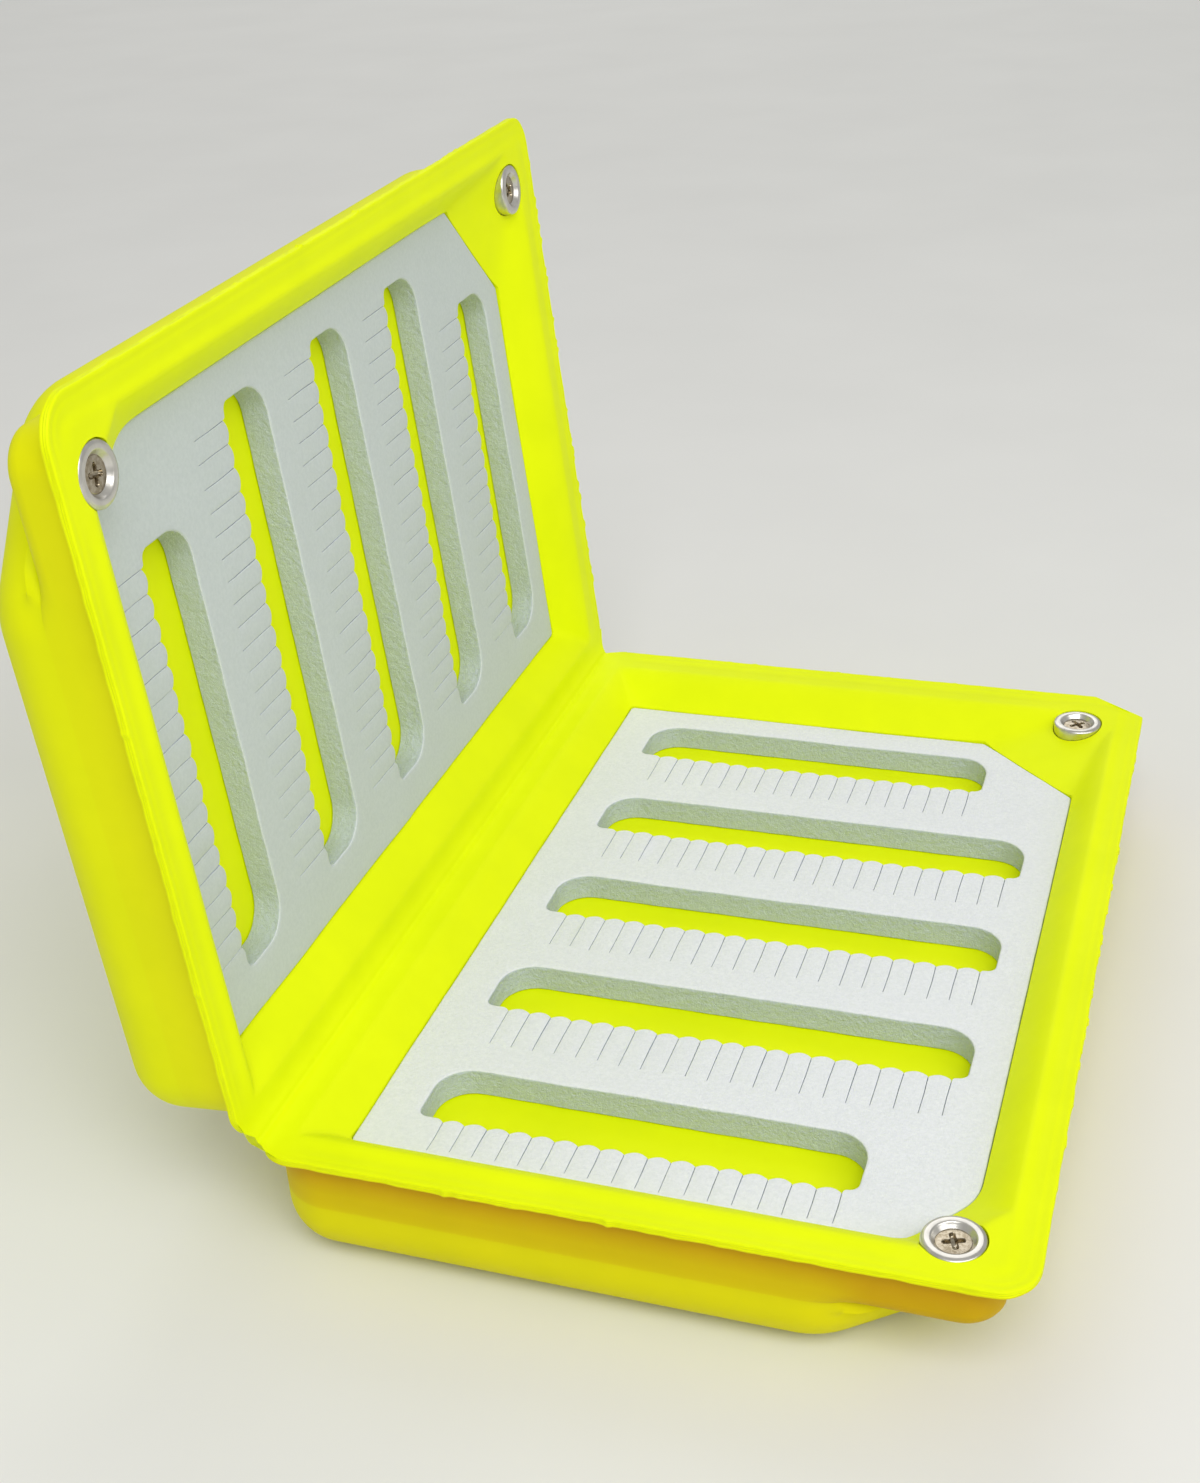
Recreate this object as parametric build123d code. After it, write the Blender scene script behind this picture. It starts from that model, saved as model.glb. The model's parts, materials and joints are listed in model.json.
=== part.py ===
from build123d import *

import os

# Fly box: two shallow moulded-foam trays joined by a thin hinge strip, each holding a slotted
# foam insert and two screwed ring magnets.
#
# Frame: millimetres, +Z up. The origin is the centre of the base tray's flat underside.
# X runs from the hinge (negative) to the free edge (positive), Y runs along the hinge from the
# front (negative) to the back. Every piece is first made as it lies in the base tray; the lid's
# pieces are the mirror image across the closing plane, turned open about the hinge line.

# ---------------------------------------------------------------- driving dimensions: the trays
TRAY_WIDTH = 100.0  # hinge line to free edge
TRAY_LENGTH = 149.0  # along the hinge
TRAY_DEPTH = 18.0  # closing plane to the flat underside
OPEN_ANGLE = 95.0  # lid angle at rest, measured from closed
RIM_CLEARANCE = 0.15  # each rim stays this far below the closing plane and off the hinge line

FLANGE_THICKNESS = 1.2  # die-cut lip round the rim
FLANGE_REACH = 1.2  # how far the lip stands out from the wall
FLANGE_FREE_REACH = 4.0  # the same at the free edge, where it gives a finger hold
FLANGE_FREE_RADIUS = 5.5  # plan radius of the lip at the two free corners
FLANGE_HINGE_RADIUS = 5.0  # plan radius of the lip beside the hinge

WALL_HINGE_RADIUS = 8.0  # plan radius of the wall at the hinge end
WALL_FREE_RADIUS = 5.0  # plan radius of the magnet boss at the free corners
WALL_CUT_RADIUS = 12.0  # plan radius where the deep tray turns into its corner cuts
UNDERSIDE_RADIUS = 7.5  # large fillet between the wall and the underside
BOSS_DEPTH = 8.2  # shallow tier under each magnet
BOSS_RADIUS = 2.5  # fillet under that tier
BOSS_SPAN_X = 21.0  # how far the deep tray is cut back from a free corner
BOSS_SPAN_Y = 16.5

# ------------------------------------------------------------- driving dimensions: the cavity
RIM_LAND = 2.2  # flat rim between the lip's edge and the slope
RIM_FRONT_CUT = (15.0, 19.0)  # how far the slope's upper edge cuts the free corners, along X and Y
RIM_BACK_CUT = (16.6, 15.3)
INSERT_HINGE_MARGIN = 9.35  # insert's outline, measured in from the tray's outline
INSERT_FREE_MARGIN = 9.5
INSERT_FRONT_MARGIN = 10.4
INSERT_BACK_MARGIN = 13.8
INSERT_FRONT_CUT = (8.1, 10.5)  # cut corners of the insert beside the magnets, along X and Y
INSERT_BACK_CUT = (16.6, 15.3)
INSERT_CORNER_RADIUS = 2.0
INSERT_FRONT_CUT_RADIUS = 8.0  # where the front cut turns into the free edge
INSERT_TOP_DEPTH = 4.45  # closing plane to the insert's top
INSERT_THICKNESS = 4.0
INSERT_CLEARANCE = 0.15  # round the insert in its recess
ADHESIVE_THICKNESS = 0.2

# ---------------------------------------------------------- driving dimensions: insert's slots
SLOT_PITCH = 25.3
SLOT_WIDTH = 10.6
SLOT_FRONT_MARGIN = 7.3  # insert's front edge to the first slot
SLOT_BACK_MARGIN = 5.0  # least foam left behind the last slot
SLOT_HINGE_MARGIN = 6.65  # slot's ends, from the insert's edges
SLOT_FREE_MARGIN = 5.1
SLOT_SHORT_MARGIN = 14.8  # the two slots beside the cut corners are shorter
SLOT_BACK_RADIUS = 5.0
SLOT_FRONT_RADIUS = 1.2

# --------------------------------------------------- driving dimensions: magnets and fasteners
MAGNET_DIAMETER = 8.0
MAGNET_THICKNESS = 3.0
MAGNET_EDGE_RADIUS = 0.45
MAGNET_FREE_INSET = 10.8  # magnet centre, in from the free edge
MAGNET_FRONT_INSET = 7.9  # magnet centre, in from the front edge
MAGNET_BACK_INSET = 10.3  # and from the back edge
MAGNET_CLEARANCE = 0.08  # round the magnet in its pocket
MAGNET_TOP_DEPTH = 0.12  # closing plane to the magnet's top
COUNTERSINK_DIAMETER = 5.6
COUNTERSINK_DEPTH = 1.6
MAGNET_BORE = 2.8

SCREW_HEAD_DIAMETER = 4.5
SCREW_HEAD_DROP = 0.55  # magnet's top to the top of the screw's head
SCREW_SHANK_DIAMETER = 2.5
SCREW_LENGTH = 4.8  # under the top of the head
RECESS_SPAN = 2.6  # cross recess, tip to tip
RECESS_WIDTH = 0.6
RECESS_DEPTH = 1.0

ANCHOR_BARREL_DIAMETER = 4.0
ANCHOR_FLANGE_DIAMETER = 6.4
ANCHOR_FLANGE_THICKNESS = 0.8
ANCHOR_HEIGHT = 2.6
THREAD_CLEARANCE = 0.02  # all round the shank in the anchor

# ------------------------------------------------------------ driving dimensions: hinge strip
HINGE_BEAD_RADIUS = 0.6  # round bead at the hinge line, where the strip folds
HINGE_CLEARANCE = 0.06  # running clearance between the bead and the trays

# ------------------------------------------------------------------------------ derived values
HINGE_X = -TRAY_WIDTH / 2
FREE_X = TRAY_WIDTH / 2
FRONT_Y = -TRAY_LENGTH / 2
BACK_Y = TRAY_LENGTH / 2
CLOSING_Z = TRAY_DEPTH
RIM_Z = CLOSING_Z - RIM_CLEARANCE
INSERT_LEFT = HINGE_X + INSERT_HINGE_MARGIN
INSERT_RIGHT = FREE_X - INSERT_FREE_MARGIN
INSERT_FRONT = FRONT_Y + INSERT_FRONT_MARGIN
INSERT_BACK = BACK_Y - INSERT_BACK_MARGIN
INSERT_TOP_Z = CLOSING_Z - INSERT_TOP_DEPTH
INSERT_BOTTOM_Z = INSERT_TOP_Z - INSERT_THICKNESS
FLOOR_Z = INSERT_BOTTOM_Z - ADHESIVE_THICKNESS
SLOT_ROOM = INSERT_BACK - INSERT_FRONT - SLOT_FRONT_MARGIN - SLOT_WIDTH - SLOT_BACK_MARGIN
SLOT_COUNT = int(SLOT_ROOM / SLOT_PITCH) + 1
MAGNET_TOP_Z = CLOSING_Z - MAGNET_TOP_DEPTH
MAGNET_BOTTOM_Z = MAGNET_TOP_Z - MAGNET_THICKNESS
MAGNET_X = FREE_X - MAGNET_FREE_INSET
MAGNET_Y = {"front": FRONT_Y + MAGNET_FRONT_INSET, "back": BACK_Y - MAGNET_BACK_INSET}
CUT_OVERSHOOT = 1.0  # cutting tools run past open faces by this much


def rounded_face(corners, radii):
    """Flat face through corner points, each corner rounded by its own radius."""
    face = make_face(Polyline(*corners, close=True))
    for corner, radius in zip(corners, radii):
        nearest = face.vertices().sort_by_distance(Vector(*corner))[0]
        face = fillet(nearest, radius)
    return face


def slab(face, bottom, top):
    """Straight slab of a face drawn at z = 0, from one height to another."""
    return Pos(0, 0, bottom) * extrude(face, top - bottom)


def four_corners(inset, hinge_inset=None, free_inset=None):
    """Corners of the tray's outline, moved in by an inset, from the hinge's front corner."""
    left = HINGE_X + (inset if hinge_inset is None else hinge_inset)
    right = FREE_X - (inset if free_inset is None else free_inset)
    return [
        (left, FRONT_Y + inset),
        (right, FRONT_Y + inset),
        (right, BACK_Y - inset),
        (left, BACK_Y - inset),
    ]


def cut_corners(corners, front_cut, back_cut):
    """The same outline with its two free corners cut off, each by its spans along X and Y."""
    hinge_front, free_front, free_back, hinge_back = corners
    return [
        hinge_front,
        (free_front[0] - front_cut[0], free_front[1]),
        (free_front[0], free_front[1] + front_cut[1]),
        (free_back[0], free_back[1] - back_cut[1]),
        (free_back[0] - back_cut[0], free_back[1]),
        hinge_back,
    ]


def insert_face(grow=0.0):
    """Outline of the foam insert, grown all round by a clearance."""
    left = INSERT_LEFT - grow
    right = INSERT_RIGHT + grow
    front = INSERT_FRONT - grow
    back = INSERT_BACK + grow
    corners = [(left, front), (right, front), (right, back), (left, back)]
    radii = [INSERT_CORNER_RADIUS + grow] * 6
    radii[2] = INSERT_FRONT_CUT_RADIUS + grow
    return rounded_face(cut_corners(corners, INSERT_FRONT_CUT, INSERT_BACK_CUT), radii)


def slot_face(index):
    """Outline of one slot: a straight back edge with large radii, a front edge with small ones."""
    short = index in (0, SLOT_COUNT - 1)
    left = INSERT_LEFT + SLOT_HINGE_MARGIN
    right = INSERT_RIGHT - (SLOT_SHORT_MARGIN if short else SLOT_FREE_MARGIN)
    front = INSERT_FRONT + SLOT_FRONT_MARGIN + index * SLOT_PITCH
    back = front + SLOT_WIDTH
    return rounded_face(
        [(left, front), (right, front), (right, back), (left, back)],
        [SLOT_FRONT_RADIUS, SLOT_FRONT_RADIUS, SLOT_BACK_RADIUS, SLOT_BACK_RADIUS],
    )


def outer_body():
    """Solid outer shape of a tray: thin lip, magnet tier and deep tray with cut corners."""
    lip = slab(
        rounded_face(
            four_corners(0.0, RIM_CLEARANCE),
            [FLANGE_HINGE_RADIUS, FLANGE_FREE_RADIUS, FLANGE_FREE_RADIUS, FLANGE_HINGE_RADIUS],
        ),
        RIM_Z - FLANGE_THICKNESS,
        RIM_Z,
    )
    wall = four_corners(FLANGE_REACH, free_inset=FLANGE_FREE_REACH)
    tier = slab(
        rounded_face(
            wall, [WALL_HINGE_RADIUS, WALL_FREE_RADIUS, WALL_FREE_RADIUS, WALL_HINGE_RADIUS]
        ),
        CLOSING_Z - BOSS_DEPTH,
        RIM_Z - FLANGE_THICKNESS,
    )
    tier = fillet(tier.faces().sort_by(Axis.Z)[0].edges(), BOSS_RADIUS)
    deep = slab(
        rounded_face(
            cut_corners(wall, (BOSS_SPAN_X, BOSS_SPAN_Y), (BOSS_SPAN_X, BOSS_SPAN_Y)),
            [WALL_HINGE_RADIUS] + [WALL_CUT_RADIUS] * 4 + [WALL_HINGE_RADIUS],
        ),
        0.0,
        RIM_Z - FLANGE_THICKNESS,
    )
    deep = fillet(deep.faces().sort_by(Axis.Z)[0].edges(), UNDERSIDE_RADIUS)
    return lip + tier + deep


def cavity():
    """Space inside a tray: a slope from the rim down to the insert, then the insert's recess."""
    mouth = rounded_face(
        cut_corners(four_corners(RIM_LAND), RIM_FRONT_CUT, RIM_BACK_CUT),
        [FLANGE_FREE_RADIUS] * 6,
    )
    foot = insert_face(INSERT_CLEARANCE)
    slope = loft([Pos(0, 0, RIM_Z) * mouth, Pos(0, 0, INSERT_TOP_Z) * foot], ruled=True)
    above = slab(mouth, RIM_Z, RIM_Z + CUT_OVERSHOOT)
    recess = slab(foot, FLOOR_Z, INSERT_TOP_Z + CUT_OVERSHOOT)
    return slope + above + recess


def magnet_pocket(y):
    """Round pocket for a magnet, with the seat of its anchor under it."""
    radius = MAGNET_DIAMETER / 2 + MAGNET_CLEARANCE
    depth = CLOSING_Z + CUT_OVERSHOOT - MAGNET_BOTTOM_Z
    pocket = Pos(MAGNET_X, y, MAGNET_BOTTOM_Z + depth / 2) * Cylinder(radius, depth)
    return pocket + anchor_envelope(y)


def anchor_envelope(y):
    """Outer shape of a screw anchor: a barrel on a wider flange."""
    barrel = Pos(MAGNET_X, y, MAGNET_BOTTOM_Z - ANCHOR_HEIGHT / 2) * Cylinder(
        ANCHOR_BARREL_DIAMETER / 2, ANCHOR_HEIGHT
    )
    flange_z = MAGNET_BOTTOM_Z - ANCHOR_HEIGHT + ANCHOR_FLANGE_THICKNESS / 2
    flange = Pos(MAGNET_X, y, flange_z) * Cylinder(
        ANCHOR_FLANGE_DIAMETER / 2, ANCHOR_FLANGE_THICKNESS
    )
    return barrel + flange


def hinge_line_rod(radius, length):
    """Round rod along the hinge line."""
    return Pos(HINGE_X, 0, CLOSING_Z) * Rot(90, 0, 0) * Cylinder(radius, length)


def tray_shell():
    """One moulded tray with its cavity, magnet pockets and room for the hinge bead."""
    shell = outer_body() - cavity()
    for y in MAGNET_Y.values():
        shell -= magnet_pocket(y)
    return shell - hinge_line_rod(HINGE_BEAD_RADIUS + HINGE_CLEARANCE, TRAY_LENGTH)


def hinge_web():
    """The strip that joins the trays, as the round bead at its fold."""
    return hinge_line_rod(HINGE_BEAD_RADIUS, TRAY_LENGTH - 2 * FLANGE_HINGE_RADIUS)


def slotted_sheet(bottom, top):
    """Sheet with the insert's outline and its row of slots, between two heights."""
    sheet = slab(insert_face(), bottom, top)
    for index in range(SLOT_COUNT):
        sheet -= slab(slot_face(index), bottom - CUT_OVERSHOOT, top + CUT_OVERSHOOT)
    return sheet


def foam_insert():
    """Slotted foam sheet that holds the hooks."""
    return slotted_sheet(INSERT_BOTTOM_Z, INSERT_TOP_Z)


def insert_adhesive():
    """Die-cut adhesive film under the insert."""
    return slotted_sheet(FLOOR_Z, INSERT_BOTTOM_Z)


def magnet(y):
    """Ring magnet with a countersunk bore."""
    ring = Pos(0, 0, MAGNET_BOTTOM_Z + MAGNET_THICKNESS / 2) * Cylinder(
        MAGNET_DIAMETER / 2, MAGNET_THICKNESS
    )
    ring = fillet(ring.edges().filter_by(GeomType.CIRCLE), MAGNET_EDGE_RADIUS)
    bore = Pos(0, 0, MAGNET_BOTTOM_Z + MAGNET_THICKNESS / 2) * Cylinder(
        MAGNET_BORE / 2, MAGNET_THICKNESS + CUT_OVERSHOOT
    )
    dish = Pos(0, 0, MAGNET_TOP_Z - COUNTERSINK_DEPTH / 2) * Cone(
        MAGNET_BORE / 2, COUNTERSINK_DIAMETER / 2, COUNTERSINK_DEPTH
    )
    return Pos(MAGNET_X, y, 0) * (ring - bore - dish)


def screw(y):
    """Countersunk screw with a cross recess, sunk in the magnet's dish."""
    head_top = MAGNET_TOP_Z - SCREW_HEAD_DROP
    slope = COUNTERSINK_DEPTH / (COUNTERSINK_DIAMETER - MAGNET_BORE)
    head_height = (SCREW_HEAD_DIAMETER - SCREW_SHANK_DIAMETER) * slope
    head = Pos(0, 0, head_top - head_height / 2) * Cone(
        SCREW_SHANK_DIAMETER / 2, SCREW_HEAD_DIAMETER / 2, head_height
    )
    shank = Pos(0, 0, head_top - SCREW_LENGTH / 2) * Cylinder(
        SCREW_SHANK_DIAMETER / 2, SCREW_LENGTH
    )
    body = head + shank
    for turn in (0, 90):
        arm = Box(RECESS_SPAN, RECESS_WIDTH, 2 * RECESS_DEPTH)
        body -= Pos(0, 0, head_top) * Rot(0, 0, turn) * arm
    return Pos(MAGNET_X, y, 0) * body


def anchor(y):
    """Moulded-in anchor that the screw bites into."""
    bore = Pos(MAGNET_X, y, MAGNET_BOTTOM_Z - ANCHOR_HEIGHT / 2) * Cylinder(
        SCREW_SHANK_DIAMETER / 2 + THREAD_CLEARANCE, ANCHOR_HEIGHT + CUT_OVERSHOOT
    )
    return anchor_envelope(y) - bore


def to_lid(piece):
    """Mirror a base piece across the closing plane and turn it open about the hinge line."""
    mirrored = mirror(piece, about=Plane.XY.offset(CLOSING_Z))
    hinge_line = Axis((HINGE_X, 0, CLOSING_Z), (0, 1, 0))
    return mirrored.rotate(hinge_line, -OPEN_ANGLE)


def tray_pieces():
    """All the pieces of one tray, by the last part of their names."""
    pieces = {
        "shell": tray_shell(),
        "foam_insert": foam_insert(),
        "insert_adhesive": insert_adhesive(),
    }
    for end, y in MAGNET_Y.items():
        pieces[f"magnet_{end}"] = magnet(y)
        pieces[f"screw_{end}"] = screw(y)
        pieces[f"anchor_{end}"] = anchor(y)
    return pieces


def all_pieces():
    """Every node of the fly box, by name."""
    nodes = {"hinge_web": hinge_web()}
    for name, piece in tray_pieces().items():
        nodes[f"base_{name}"] = piece
        nodes[f"lid_{name}"] = to_lid(piece)
    return nodes


os.makedirs("parts", exist_ok=True)
for node_name, node in all_pieces().items():
    export_step(node, f"parts/{node_name}.step")
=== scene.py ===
import json
import logging
import math
from dataclasses import dataclass
from enum import Enum

import bpy
import numpy as np
from mathutils import Matrix, Vector
from mathutils.geometry import delaunay_2d_cdt
from numpy.typing import NDArray


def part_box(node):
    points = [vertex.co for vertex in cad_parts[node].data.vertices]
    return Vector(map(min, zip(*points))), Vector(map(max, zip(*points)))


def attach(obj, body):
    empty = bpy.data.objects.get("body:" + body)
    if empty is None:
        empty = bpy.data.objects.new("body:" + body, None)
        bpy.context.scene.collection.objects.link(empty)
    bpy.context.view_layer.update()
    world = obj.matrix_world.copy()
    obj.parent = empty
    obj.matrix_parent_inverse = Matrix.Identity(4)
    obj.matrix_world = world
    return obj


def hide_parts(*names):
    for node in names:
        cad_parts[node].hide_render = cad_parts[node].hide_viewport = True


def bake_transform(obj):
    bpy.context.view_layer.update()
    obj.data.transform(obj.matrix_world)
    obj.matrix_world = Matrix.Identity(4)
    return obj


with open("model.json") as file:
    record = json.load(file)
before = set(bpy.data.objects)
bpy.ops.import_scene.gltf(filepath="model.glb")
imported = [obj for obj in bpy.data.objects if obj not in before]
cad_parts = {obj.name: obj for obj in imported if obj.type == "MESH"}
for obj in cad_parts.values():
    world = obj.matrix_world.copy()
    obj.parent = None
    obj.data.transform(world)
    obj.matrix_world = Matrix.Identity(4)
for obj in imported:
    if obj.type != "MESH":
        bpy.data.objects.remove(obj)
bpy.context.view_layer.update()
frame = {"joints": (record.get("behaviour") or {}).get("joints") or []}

Array = NDArray[np.float64]
Indices = NDArray[np.int64]
LOG = logging.getLogger("fly_box")
MM = 0.001  # the script's lengths are millimetres, Blender's are metres
TINY = 1e-12  # stands in for 0 where a division needs it
SAME_POINT = 1e-7  # the filled faces' points are merged when nearer than this
FINE = 0.2  # outlines are measured at points this far apart


# --------------------------------------------------------------------------- small mathematics


def smoothstep(x: Array) -> Array:
    """Ease from 0 to 1: 3t^2 - 2t^3 of x held between 0 and 1."""
    t = np.clip(x, 0.0, 1.0)
    return t * t * (3.0 - 2.0 * t)


def smooth_min(a: Array, b: Array, reach: float) -> Array:
    """Smaller of two values, rounded where they are within reach of each other.

    Formula: min(a, b) less reach/4 times h^2, where h falls from 1 to 0 as |a - b| grows to reach.

    Args:
        a: First value.
        b: Second value.
        reach: Difference at which the rounding ends.

    Returns:
        The rounded minimum.
    """
    h = np.clip(1.0 - np.abs(a - b) / reach, 0.0, 1.0)
    return np.minimum(a, b) - 0.25 * reach * h * h


def soft_least(values: list[Array], power: float, least: float = 0.02) -> Array:
    """Smallest of several values, rounded where two are alike.

    Formula: each value plus a small least, so that none is 0, raised to -power; then the sum of
    these, raised to -1/power.

    Args:
        values: Arrays of one shape, none negative.
        power: How tightly the rounding follows the smallest.
        least: Added to every value.

    Returns:
        The rounded minimum.
    """
    stack = np.stack(values) + least
    return np.sum(stack**-power, axis=0) ** (-1.0 / power)


def bell(x: Array, middle: float, width: float) -> Array:
    """Bell-shaped rise: exp(-t^2), where t is the distance from the middle over the width."""
    return np.exp(-(((x - middle) / width) ** 2))


def waves(x: Array, lengths: tuple[float, ...], seed: float) -> Array:
    """Gentle unevenness along a line: the mean of sines of several wavelengths.

    Args:
        x: Distance along the line.
        lengths: Wavelengths, in the same unit.
        seed: Shifts the phases, so that two lines differ.

    Returns:
        Values between -1 and 1.
    """
    total = np.zeros_like(x)
    for rank, length in enumerate(lengths):
        total += np.sin(2.0 * math.pi * x / length + seed * (rank + 1.7) * 2.39)
    return total / len(lengths)


def quarter(degrees: list[float] | Array) -> list[tuple[float, float]]:
    """Points of a quarter circle of radius 1, by their angles, as distances from its tangents."""
    return [(1.0 - math.sin(turn), 1.0 - math.cos(turn)) for turn in np.radians(degrees)]


def scatter(count: int, seed: float) -> Array:
    """Repeatable spread of numbers between -1 and 1, from the fractional parts of scaled sines."""
    raw = np.sin((np.arange(count) + 1.0) * 12.9898 + seed * 78.233) * 43758.5453
    return 2.0 * (raw - np.floor(raw)) - 1.0


def hex_to_linear(code: str) -> tuple[float, float, float, float]:
    """Turn an sRGB hex colour into linear RGBA.

    Args:
        code: Colour as six hex digits, with or without a leading mark.

    Returns:
        Linear red, green, blue and an alpha of 1.
    """
    digits = code.lstrip("#")
    channels = [int(digits[i : i + 2], 16) / 255.0 for i in (0, 2, 4)]
    linear = [c / 12.92 if c <= 0.04045 else ((c + 0.055) / 1.055) ** 2.4 for c in channels]
    return (linear[0], linear[1], linear[2], 1.0)


# -------------------------------------------------------------------------- places and outlines


class Side(Enum):
    """The two trays, by the first part of their nodes' names."""

    BASE = "base"
    LID = "lid"


@dataclass(frozen=True)
class TrayPlace:
    """Where a tray lies in the row frame.

    A tray's own coordinates are u from the hinge line to the free edge, y along the hinge from
    the front, and w from the closing plane out to the tray's back.
    """

    side: Side
    hinge_x: float
    closing_z: float
    front_y: float
    angle: float  # of the u direction above +X, in radians
    outward: int  # +1 where w is u cross y, -1 where it is the opposite

    def to_row(self, points: Array) -> Array:
        """Carry points from (u, y, w) to the row frame, in metres.

        Args:
            points: Rows of u, y and w in millimetres.

        Returns:
            Rows of x, y and z in metres.
        """
        u, y, w = points[:, 0], points[:, 1], points[:, 2] * self.outward
        cosine, sine = math.cos(self.angle), math.sin(self.angle)
        x = self.hinge_x + u * cosine - w * sine
        z = self.closing_z + u * sine + w * cosine
        return np.column_stack([x, self.front_y + y, z]) * MM


def tray_places() -> dict[Side, TrayPlace]:
    """Read both trays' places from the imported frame.

    Returns:
        A place for each side: the joint gives the hinge line and the lid's opening angle.
    """
    joint = frame["joints"][0]
    hinge_x, _, closing_z = (value / MM for value in joint["pos_m"])
    front_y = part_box("base_shell")[0].y / MM
    opening = math.radians(max(joint["range_deg"]))
    return {
        Side.BASE: TrayPlace(Side.BASE, hinge_x, closing_z, front_y, 0.0, -1),
        Side.LID: TrayPlace(Side.LID, hinge_x, closing_z, front_y, opening, 1),
    }


@dataclass(frozen=True)
class Outline:
    """Convex outline in a tray's plane, anticlockwise, with a radius at each corner."""

    corners: tuple[tuple[float, float], ...]
    radii: tuple[float, ...]

    def inset(self, distance: float, least: float = 0.3) -> "Outline":
        """Move every side inwards and shrink the radii by the same distance.

        Formula: each side's line moves along its inward normal, and neighbouring lines meet at
        the new corners.

        Args:
            distance: How far in, negative for outwards.
            least: Smallest radius left.

        Returns:
            The new outline.
        """
        start = np.array(self.corners)
        along = np.roll(start, -1, axis=0) - start
        along /= np.linalg.norm(along, axis=1)[:, None]
        moved = start + np.column_stack([-along[:, 1], along[:, 0]]) * distance
        before, point = np.roll(along, 1, axis=0), np.roll(moved, 1, axis=0)
        cross = before[:, 0] * along[:, 1] - before[:, 1] * along[:, 0]
        gap = moved - point
        reach = (gap[:, 0] * along[:, 1] - gap[:, 1] * along[:, 0]) / cross
        corners = point + before * reach[:, None]
        radii = tuple(max(radius - distance, least) for radius in self.radii)
        return Outline(tuple(map(tuple, corners.tolist())), radii)

    def points(self, spacing: float) -> Array:
        """Sample the outline: straight sides and corner arcs, about spacing apart.

        Formula: an arc touches both sides at radius * tan(turn / 2) from its corner.

        Args:
            spacing: Distance between points.

        Returns:
            Rows of u and y.
        """
        corner = np.array(self.corners)
        into = corner - np.roll(corner, 1, axis=0)
        into /= np.linalg.norm(into, axis=1)[:, None]
        out = np.roll(into, -1, axis=0)
        turn = np.arctan2(into[:, 0] * out[:, 1] - into[:, 1] * out[:, 0], (into * out).sum(1))
        radius = np.array(self.radii)
        touch = radius * np.tan(turn / 2.0)
        first, last = corner - into * touch[:, None], corner + out * touch[:, None]
        centre = first + np.column_stack([-into[:, 1], into[:, 0]]) * radius[:, None]
        pieces = []
        for k in range(len(corner)):
            steps = max(4, int(abs(turn[k]) * radius[k] / spacing))
            sweep = math.atan2(*(first[k] - centre[k])[::-1]) + np.linspace(0, turn[k], steps + 1)
            bend = centre[k] + radius[k] * np.column_stack([np.cos(sweep), np.sin(sweep)])
            after = (k + 1) % len(corner)
            run = np.linalg.norm(first[after] - last[k])
            share = np.linspace(0, 1, max(2, int(run / spacing)) + 1)[1:-1, None]
            pieces += [bend, last[k] + (first[after] - last[k]) * share]
        return np.vstack(pieces)

    def reach(self, angles: Array, centre: Array) -> Array:
        """Distance from a centre to the outline along rays at the given angles."""
        dense = self.points(FINE) - centre
        bearing = np.arctan2(dense[:, 1], dense[:, 0])
        return np.interp(angles, bearing, np.hypot(dense[:, 0], dense[:, 1]), period=2 * math.pi)


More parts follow.
